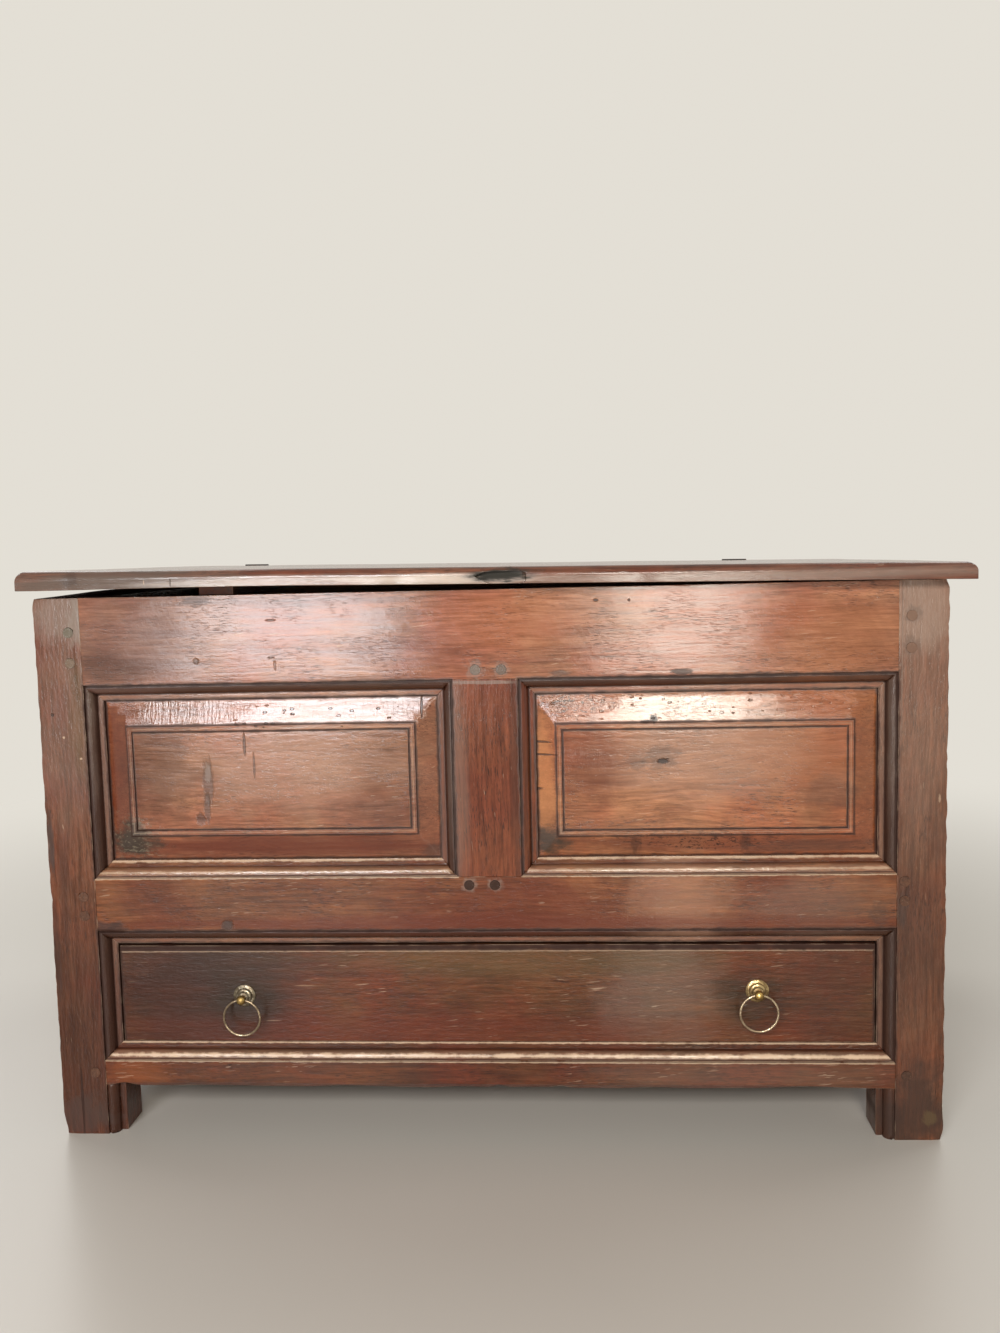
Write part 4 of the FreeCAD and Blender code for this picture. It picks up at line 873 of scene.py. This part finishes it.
def middle_rail_oak():
    marks = [
        ("tint", -240, 195, 70, 20, 0.3, SMOKE),
        ("tint", -120, 190, 60, 18, 0.25, UMBER_AND_SHADE),
        # painted reflection: a pale upright band where the rail mirrors a window
        ("tint", 148, 192, 32, 44, 0.38, shade(164, 124, 100)),
        ("tint", 250, 188, 50, 22, 0.3, BLOOM),
        ("tint", 0, 174, 290, 7, 0.75, OXBLOOD),
        ("tint", 30, 190, 60, 18, 0.5, OXBLOOD),
        ("sunk", -207, 174, 4.6, 4.2, 0.85, SMOKE),
        ("grime", -303, 170.5, 13, 6, 0.9, DIRT_AND_SHADE),
        ("stain", 300, 180, 7, 10, 0.4, SMOKE),
        ("stain", -13.7, 205.3, 5.6, 5.2, 0.5, BLOOM),
        ("stain", 6.3, 205.3, 5.6, 5.2, 0.5, BLOOM),
    ]
    return oak(
        "middle rail oak", ALONG_X, shade(88, 50, 28), shade(130, 81, 48),
        lines=[*along(PANELS, LOWER_MOULDING_LINES), ("drawer", MOULDING_LINES)],
        rubs_and_highlights=along(PANELS, PANEL_FOOT_RUBS),
        bands=[*along(PANELS, LIT_FOOT_MOULDING), ("drawer", SHADED_MOULDING)], marks=marks,
        roughness=(0.11, 0.2), ripple=0.7, scratched=0.5,
    )


def bottom_rail_oak():
    marks = [
        ("tint", -285, 52, 22, 10, 0.3, ORANGE),
        ("tint", 200, 52, 110, 12, 0.2, BLOOM),
        ("crumble", -240, 74, 60, 2.2, 0.7, UMBER_AND_SHADE),
        ("crumble", 225, 72, 90, 3, 0.7, DIRT_AND_SHADE),
        ("stain", 0, 42, 330, 2.2, 0.6, SMOKE),
    ]
    return oak(
        "bottom rail oak", ALONG_X, shade(64, 35, 19), shade(98, 57, 31),
        lines=[("drawer", LOWER_MOULDING_LINES)], rubs_and_highlights=[("drawer", DRAWER_FOOT_RUBS)],
        bands=[("drawer", LIT_FOOT_MOULDING)], marks=marks,
        gloss=0.3, roughness=(0.12, 0.24), ripple=0.7, scratched=0.6,
    )


def muntin_oak():
    marks = [
        ("tint", -20, 290, 7, 80, 0.35, BLOOM),
        ("stain", 2, 364, 28, 1.4, 0.6, BLOOM),
        ("tint", 24, 290, 3, 90, 0.5, UMBER_AND_SHADE),
    ]
    return oak(
        "muntin oak", ALONG_Z, shade(88, 44, 24), shade(124, 68, 40),
        lines=along(PANELS, MOULDING_LINES), marks=marks,
        bands=[("left panel", SHADED_MOULDING), ("right panel", LIT_MOULDING)],
    )


def stile_oak(side, marks, dark, light, red):
    """What the two front stiles share."""
    openings = (side + " panel", "drawer")
    return oak(
        side + " stile oak", ALONG_Z, dark, light, red, marks=marks,
        lines=along(openings, MOULDING_LINES), bands=along(openings, SHADED_MOULDING),
        deep=36, gloss=0.3, roughness=(0.17, 0.3), ripple=0.8, unwaxed_and_shaded=[SHADED_BARE_TOP],
    )


def left_stile_oak():
    marks = [
        ("tint", -328, 424, 28, 20, 0.7, BLOOM),
        ("stain", -314, 416, 8, 18, 0.6, shade(122, 110, 98)),
        ("tint", -332, 330, 26, 70, 0.3, BLOOM),
        ("tint", -330, 80, 28, 80, 0.6, UMBER_AND_SHADE),
        ("tint", -318, 345, 7, 40, 0.4, OLIVE),
        # painted shade on the inner side of the foot
        ("tint", -307, 20, 9, 40, 0.8, UMBER_AND_SHADE),
        ("grime", -334, 14, 22, 16, 0.6, SMOKE),
        ("sunk", -333.5, 28, 0.9, 26, 0.95, DIRT_AND_SHADE),
        ("stain", -347, 240, 3, 22, 0.8, SMOKE),
        ("stain", -347, 150, 3, 40, 0.6, UMBER_AND_SHADE),
        ("stain", -338, 200, 4, 50, 0.4, UMBER_AND_SHADE),
        ("sunk", -339, 344, 1.4, 1.4, 0.8, KNOT_AND_SHADE),
        # painted glints
        ("stain", -331, 326, 0.9, 0.9, 0.6, BARE_AND_HIGHLIGHT),
        ("stain", -318, 309, 1, 0.8, 0.6, BARE_AND_HIGHLIGHT),
    ]
    return stile_oak("left", marks, shade(78, 45, 28), shade(106, 67, 45), OXBLOOD)


def right_stile_oak():
    marks = [
        ("tint", 333, 414, 26, 30, 0.85, shade(142, 116, 100)),
        ("stain", 323.5, 409, 6, 6, 0.4, SMOKE),
        ("stain", 321.7, 386, 6, 7, 0.4, SMOKE),
        ("tint", 330, 330, 28, 90, 0.35, BLOOM),
        ("tint", 325, 150, 26, 90, 0.5, SMOKE),
        # painted shade on the inner side of the foot
        ("tint", 307, 20, 9, 40, 0.8, UMBER_AND_SHADE),
        ("grime", 332, 24, 30, 34, 0.8, shade(46, 31, 23)),
        ("stain", 339, 18, 5, 6, 0.5, OLIVE),
        ("sunk", 315.4, 380, 0.5, 60, 0.5, BLOOM),
        ("stain", 318, 185, 4, 14, 0.6, SMOKE),
        ("sunk", 321, 196, 1.6, 9, 0.6, DIRT_AND_SHADE),
        ("stain", 344, 270, 0.8, 3, 0.35, BARE_AND_HIGHLIGHT),
    ]
    return stile_oak("right", marks, shade(88, 55, 38), shade(122, 81, 57), shade(100, 56, 38))


PANEL_SHEEN = shade(166, 132, 112)


def panel_oak(side, marks, dark, light, red):
    """What the two fielded panels of the front share."""
    field = side + " field"
    return oak(
        side + " panel oak", ALONG_X, dark, light, red, marks=marks,
        lines=[(field, BEAD_LINES), (side + " panel", MOULDING_LINES)], rubs_and_highlights=[(field, BEAD_RUBS)],
        deep=15, gloss=0.45, roughness=(0.09, 0.17), ripple=0.18, scratched=0.5, wander=0.03,
    )


def left_panel_oak():
    marks = [
        ("tint", -291, 290, 13, 60, 0.75, OXBLOOD),
        ("tint", -160, 236, 140, 9, 0.85, OXBLOOD),
        ("tint", -45, 290, 10, 60, 0.4, shade(96, 56, 38)),
        ("tint", -262, 300, 26, 40, 0.5, UMBER_AND_SHADE),
        ("tint", -150, 300, 80, 30, 0.45, PANEL_SHEEN),
        ("tint", -76, 284, 22, 44, 0.25, UMBER_AND_SHADE),
        ("tint", -90, 262, 40, 12, 0.3, SMOKE),
        ("crinkle", -228, 344, 38, 12, 0.9, None),
        ("crinkle", -120, 345, 60, 12, 0.3, None),
        ("grime", -281, 242, 20, 13, 0.9, GREEN_DIRT),
        ("crumble", -283, 243, 22, 18, 0.6, shade(110, 98, 80)),
        ("sunk", -218, 288, 4.2, 17, 0.55, SMOKE),
        ("sunk", -218, 296, 2.4, 8, 0.5, BLOOM),
        ("sunk", -220, 268, 2.6, 12, 0.6, SMOKE),
        ("sunk", -225.6, 259, 3.6, 5, 0.6, KNOT_AND_SHADE),
        ("sunk", -188, 318, 1.1, 9, 0.7, KNOT_AND_SHADE),
        ("sunk", -181, 301, 0.9, 10, 0.6, KNOT_AND_SHADE),
        ("sunk", -48, 345, 0.8, 8, 0.9, KNOT_AND_SHADE),
        ("holes", -110, 343, 66, 7, 0.95, KNOT_AND_SHADE),
        ("holes", -150, 333, 70, 4, 0.8, KNOT_AND_SHADE),
        ("stain", -40, 228, 12, 8, 0.5, SMOKE),
    ]
    return panel_oak("left", marks, shade(108, 68, 47), shade(148, 102, 72), shade(132, 72, 48))


def right_panel_oak():
    marks = [
        # painted light: the left bevel made lighter as if lit from the left
        ("tint", 43, 290, 13, 44, 0.55, LIT_GOLD),
        ("tint", 170, 236, 140, 9, 0.55, OXBLOOD),
        ("tint", 292, 290, 14, 60, 0.55, shade(104, 56, 28)),
        ("tint", 180, 304, 80, 30, 0.45, PANEL_SHEEN),
        ("tint", 262, 284, 24, 44, 0.4, shade(112, 58, 28)),
        ("tint", 82, 300, 26, 28, 0.5, OXBLOOD),
        ("tint", 240, 300, 40, 24, 0.3, ORANGE),
        ("tint", 255, 345, 50, 10, 0.35, ORANGE),
        ("stain", 263, 276, 20, 12, 0.3, SMOKE),
        ("crumble", 62, 346, 32, 12, 0.9, SMOKE),
        ("crumble", 170, 238, 64, 8, 0.8, DIRT_AND_SHADE),
        ("sunk", 42, 316, 10, 0.9, 0.8, KNOT_AND_SHADE),
        ("sunk", 44, 306, 11, 0.8, 0.8, KNOT_AND_SHADE),
        ("sunk", 38, 279, 7, 1.2, 0.8, KNOT_AND_SHADE),
        ("crinkle", 74, 300, 20, 9, 0.6, None),
        ("grime", 48, 238, 15, 10, 0.85, GREEN_DIRT),
        ("stain", 118, 300, 7, 6, 0.35, SMOKE),
        ("stain", 136, 303, 12, 9, 0.4, SMOKE),
        ("sunk", 137.5, 300.5, 4.4, 2, 1, KNOT_AND_SHADE),
        ("stain", 116, 236, 4, 8, 0.5, DIRT_AND_SHADE),
        ("stain", 200, 236, 4, 7, 0.5, DIRT_AND_SHADE),
        ("tint", 250, 232, 50, 6, 0.5, SMOKE),
        ("stain", 131, 333, 2.6, 3.4, 1, KNOT_AND_SHADE),
        ("stain", 125, 331, 4, 1.2, 0.9, KNOT_AND_SHADE),
        ("holes", 150, 343, 100, 9, 0.6, KNOT_AND_SHADE),
    ]
    return panel_oak("right", marks, shade(114, 69, 46), shade(157, 105, 70), shade(144, 76, 46))


def drawer_oak():
    marks = [
        ("tint", -240, 112, 80, 60, 0.75, shade(44, 25, 18)),
        ("tint", -230, 140, 80, 16, 0.4, SMOKE),
        ("tint", 130, 118, 40, 50, 0.35, BLOOM),
        ("tint", 270, 115, 40, 50, 0.4, SMOKE),
        ("tint", 20, 142, 160, 12, 0.4, OLIVE),
        ("tint", -20, 84, 300, 12, 0.4, OXBLOOD),
        ("tint", -199, 108, 26, 22, 0.6, GREEN_DIRT),
        ("tint", 206, 110, 28, 24, 0.6, GREEN_DIRT),
        ("sunk", -149, 121, 8, 0.4, 0.35, BARE_AND_HIGHLIGHT),
        ("sunk", -176, 92, 6, 0.4, 0.3, BARE_AND_HIGHLIGHT),
    ]
    return oak(
        "drawer oak", ALONG_X, shade(66, 40, 23), shade(99, 61, 34), gloss=0.28,
        lines=[("drawer face", DRAWER_LINES), ("drawer top", DRAWER_GAP)],
        rubs_and_highlights=[("drawer top", DRAWER_RUBS)], marks=marks, deep=26,
        roughness=(0.15, 0.28), ripple=1.1, scratched=0.6,
    )


def lid_oak():
    marks = [
        # greyer wood at the left end, partly painted reflection
        ("tint", -280, 446.4, 85, 10, 0.85, shade(92, 80, 72)),
        # painted greyish sheen on the front's lower band
        ("tint", 200, 440.6, 170, 4.6, 0.6, shade(136, 118, 106)),
        # painted highlight along the front's lower band
        ("tint", -150, 445, 90, 4, 0.3, HIGHLIGHT_CHALK),
        ("tint", -30, 443.4, 62, 4, 0.5, HIGHLIGHT_CHALK),
        ("stain", -312, 450, 6, 5, 0.5, SMOKE),
        ("sunk", -254, 446.4, 0.6, 1.8, 0.35, BARE_AND_HIGHLIGHT),
        ("sunk", -233.6, 446, 0.7, 2.6, 0.6, KNOT_AND_SHADE),
        ("grime", 17, 445.6, 21, 4.6, 1, GREEN_DIRT),
        ("stain", 17, 446, 19, 4.6, 0.9, shade(30, 27, 19)),
    ]
    return oak(
        "lid oak", ALONG_X, shade(80, 48, 34), shade(118, 76, 56), marks=marks, deep=-8,
        roughness=(0.1, 0.18), unwaxed_and_shaded=[BARE_UNDERSIDE],
    )


FRONT_OAK = {
    "front_top_rail": top_rail_oak,
    "front_middle_rail": middle_rail_oak,
    "front_bottom_rail": bottom_rail_oak,
    "front_muntin": muntin_oak,
    "front_left_stile": left_stile_oak,
    "front_right_stile": right_stile_oak,
    "front_left_panel": left_panel_oak,
    "front_right_panel": right_panel_oak,
    "drawer_front": drawer_oak,
    "lid_board": lid_oak,
}


def waxed_oak(axis):
    return oak(
        "side oak along " + axis, GRAINS[axis], shade(84, 48, 30), shade(122, 76, 48), ripple=0.2,
        unwaxed_and_shaded=[SHADED_BARE_TOP],
    )


def dry_oak(axis):
    return oak(
        "dry oak along " + axis, GRAINS[axis], shade(92, 62, 42), shade(140, 102, 72),
        shade(118, 76, 50), gloss=0.25, roughness=(0.6, 0.85), relief=1.4, scratched=0.2,
    )


def rear_post_oak():
    return oak(
        "rear post oak", ALONG_Z, shade(84, 51, 33), shade(124, 82, 55), gloss=0.3,
        roughness=(0.32, 0.5), unwaxed_and_shaded=[SHADED_BARE_TOP],
    )


def batten_oak():
    return oak(
        "batten oak", ALONG_Y, shade(62, 40, 30), shade(96, 64, 48), gloss=0.25, roughness=(0.5, 0.7),
    )


# on the pegs' ends: across, up, strength, colour
PEG_TINTS = (
    (-4.9, 373.7, 0.8, shade(116, 104, 94)),
    (15.1, 373.7, 0.8, shade(104, 90, 80)),
    (-13.7, 205.3, 0.9, KNOT_AND_SHADE),
    (6.3, 205.3, 0.9, KNOT_AND_SHADE),
    (-322.3, 408.5, 0.8, shade(106, 100, 86)),
    (-322.3, 384.5, 0.6, shade(116, 104, 88)),
    (322.3, 408.5, 0.8, shade(124, 98, 82)),
    (322.3, 384.5, 0.8, shade(120, 92, 76)),
)
PEG_REACH = 7


def peg_oak():
    marks = [
        ("tint", across, up, PEG_REACH, PEG_REACH, strength, colour)
        for across, up, strength, colour in PEG_TINTS
    ]
    return oak("peg oak", ALONG_Y, shade(80, 52, 38), shade(108, 72, 52), SMOKE, gloss=0.3, marks=marks)


# -------- metals

# rubbed and tarnished colour of each piece
BRASS_TONES = {
    "left_pull_rose": (shade(158, 148, 128), shade(98, 86, 70)),
    "right_pull_rose": (shade(194, 170, 124), shade(126, 104, 72)),
    "left_pull_eye": (shade(216, 186, 118), shade(150, 124, 76)),
    "right_pull_eye": (shade(222, 188, 116), shade(156, 128, 76)),
    "left_pull_ring": (shade(176, 158, 132), shade(120, 104, 84)),
    "right_pull_ring": (shade(200, 182, 154), shade(144, 126, 104)),
}


def brass(node):
    """Old brass: greyish where it is tarnished, gold where it is rubbed."""
    rubbed, tarnished = BRASS_TONES[node]
    metal = Finish("brass of " + node.replace("_", " "))
    tree = metal.tree
    tarnish = ramp(tree, noise(tree, metal.spot, 240, 3, 0.6), 0.36, 0.62)
    metal.colour = mixed(tree, tarnish, rubbed, tarnished)
    metal.roughness = ramp(tree, tarnish, 0, 1, 0.2, 0.42)
    metal.height = noise(tree, metal.spot, 700)
    return metal.done(0.02, {"Metallic": 1.0})


def iron():
    """Dark wrought wire with a little rust."""
    metal = Finish("wrought iron")
    tree = metal.tree
    rust = ramp(tree, noise(tree, metal.spot, 500, 4, 0.6), 0.48, 0.66)
    metal.colour = mixed(tree, rust, shade(44, 40, 37), shade(74, 48, 34))
    metal.roughness = ramp(tree, rust, 0, 1, 0.55, 0.8)
    metal.height = noise(tree, metal.spot, 700, 4)
    return metal.done(0.2, {"Metallic": ramp(tree, rust, 0, 1, 0.4, 0.1)})


# -------- every piece


def long_axis(node):
    low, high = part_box(node)
    size = high - low
    return "xyz"[max(range(3), key=lambda index: size[index])]


def dress_everything():
    """Stands a finished copy with its own material in for each node."""
    side_oak = {axis: waxed_oak(axis) for axis in GRAINS}
    inner_oak = {axis: dry_oak(axis) for axis in GRAINS}
    black_iron = iron()
    pegs = peg_oak()
    unworn = dict.fromkeys(("lid_left_batten", "lid_right_batten"), batten_oak())
    unworn.update(dict.fromkeys(("rear_left_stile", "rear_right_stile"), rear_post_oak()))
    for node in sorted(frame["nodes"]):
        slot = SLOT_OF[node]
        if slot in ("brass", "iron"):
            piece = dressed(node, moved=None)
            material = black_iron if slot == "iron" else brass(node)
        elif slot == "peg_oak":
            piece = dressed(node)
            material = pegs
        elif node in unworn:
            piece = dressed(node, PLAIN_CELLS)
            material = unworn[node]
        elif node in FRONT_OAK:
            moved = field_shift(node) if node in FIELDS else worn
            piece = dressed(node, WORN_CELLS.get(node, FRONT_CELLS), moved)
            material = FRONT_OAK[node]()
        else:
            piece = dressed(node, PLAIN_CELLS, worn)
            material = (side_oak if slot == "polished_oak" else inner_oak)[long_axis(node)]
        piece.data.materials.clear()
        piece.data.materials.append(material)


# -------- studio

PALE = (0.77, 0.735, 0.665, 1.0)
ROOM_LIGHT = 0.2
FLOOR_COLOUR = (0.62, 0.59, 0.535, 1)
FLOOR_ROUGHNESS = 0.34
# in metres: the floor's half width, and where it begins and ends to fade into the backdrop
FLOOR_REACH = 12.0
FADE_START = 0.5
FADE_END = 1.5


def seen(tree):
    """1 for what the camera sees, straight, in a gloss or through glass, and 0 for lighting."""
    path = add(tree, "ShaderNodeLightPath").outputs
    shown = maths(tree, "MAXIMUM", path["Is Camera Ray"], path["Is Glossy Ray"])
    return maths(tree, "MAXIMUM", shown, path["Is Transmission Ray"])


def pale_world():
    """A backdrop that looks pale and gives less light than it shows."""
    world = bpy.data.worlds.new("pale room")
    bpy.context.scene.world = world
    world.use_nodes = True
    tree = world.node_tree
    tree.nodes.clear()
    strength = ramp(tree, seen(tree), 0, 1, ROOM_LIGHT, 1.0, smooth=False)
    back = add(tree, "ShaderNodeBackground", {"Color": PALE, "Strength": strength})
    add(tree, "ShaderNodeOutputWorld", {"Surface": back})


def pale_floor():
    """A plain floor that keeps the chest's shadow and fades into the backdrop."""
    mesh = bpy.data.meshes.new("floor")
    corners = ((-1, -1), (1, -1), (1, 1), (-1, 1))
    mesh.from_pydata([(x * FLOOR_REACH, y * FLOOR_REACH, 0) for x, y in corners], [], [(0, 1, 2, 3)])
    floor = new_object("floor", mesh)
    material, tree, surface = new_material("pale floor")
    surface.inputs["Base Color"].default_value = FLOOR_COLOUR
    surface.inputs["Roughness"].default_value = FLOOR_ROUGHNESS
    away = vectors(tree, "LENGTH", add(tree, "ShaderNodeTexCoord").outputs["Object"])
    far = times(tree, ramp(tree, away, FADE_START, FADE_END), seen(tree))
    glow = add(tree, "ShaderNodeEmission", {"Color": PALE, "Strength": 1.0})
    mix = add(tree, "ShaderNodeMixShader", {0: far, 1: surface, 2: glow})
    feed(tree, tree.nodes["Material Output"].inputs["Surface"], mix)
    mesh.materials.append(material)


def soft_lamp(name, spot, turn, size, radiance, tint):
    """A flat lamp that the camera doesn't see, from its width, height and the light it shows."""
    light = bpy.data.lights.new(name, "AREA")
    light.shape = "RECTANGLE"
    light.size, light.size_y = size
    light.energy = radiance * light.size * light.size_y * math.pi
    light.color = tint
    lamp = new_object(name, light)
    lamp.location = spot
    lamp.rotation_euler = turn
    lamp.visible_camera = False


WINDOW_BACK = 2.0
UPRIGHT = (math.radians(90), 0, 0)
WHITE = (1, 1, 1)
DAYLIGHT = (0.97, 0.97, 1.0)
WARM_DAYLIGHT = (1.0, 0.93, 0.82)
# name, left, right, low and high edges in metres, light, tint
SASHES = (
    ("left lower sash", -0.94, -0.385, 0.14, 0.5, 15.0, DAYLIGHT),
    ("left upper sash", -1.02, -0.28, 0.96, 1.46, 26.0, DAYLIGHT),
    ("right lower sash", 0.14, 0.485, 0.14, 0.5, 16.0, WARM_DAYLIGHT),
    ("right upper sash", 0.1, 0.53, 0.96, 1.46, 30.0, WARM_DAYLIGHT),
)
REAR_LAMP_SIZE = (2.0, 2.0)
REAR_LAMP_LIGHT = 2.2
REAR_LAMP_PLACES = ((-1.9, 1.5, 1.9), (1.9, 1.5, 1.9))
REAR_LAMP_AIM = (0, 0, 0.25)


def lamps():
    """Two tall windows behind the viewer, and two soft lamps for the sides, back and top."""
    for name, left, right, low, high, radiance, tint in SASHES:
        spot = ((left + right) / 2, FRONT - WINDOW_BACK, (low + high) / 2)
        soft_lamp(name, spot, UPRIGHT, (right - left, high - low), radiance, tint)
    for number, spot in enumerate(REAR_LAMP_PLACES, 1):
        aim = Vector(REAR_LAMP_AIM) - Vector(spot)
        turn = aim.to_track_quat("-Z", "Y").to_euler()
        soft_lamp(f"rear lamp {number}", spot, turn, REAR_LAMP_SIZE, REAR_LAMP_LIGHT, WHITE)


CAMERA_PLACE = (0.06645, -1.0727, 0.460)
CAMERA_TURN = (84.512, 1.403, 3.586)
CAMERA_LENS = 31.11
CAMERA_SENSOR = 36


def camera():
    data = bpy.data.cameras.new("camera")
    data.sensor_width = CAMERA_SENSOR
    data.lens = CAMERA_LENS
    data.clip_start = 0.01
    view = new_object("camera", data)
    view.location = CAMERA_PLACE
    view.rotation_euler = Euler([math.radians(angle) for angle in CAMERA_TURN])
    bpy.context.scene.camera = view


camera()
pale_world()
pale_floor()
lamps()
dress_everything()
bpy.context.scene.view_settings.view_transform = "Standard"
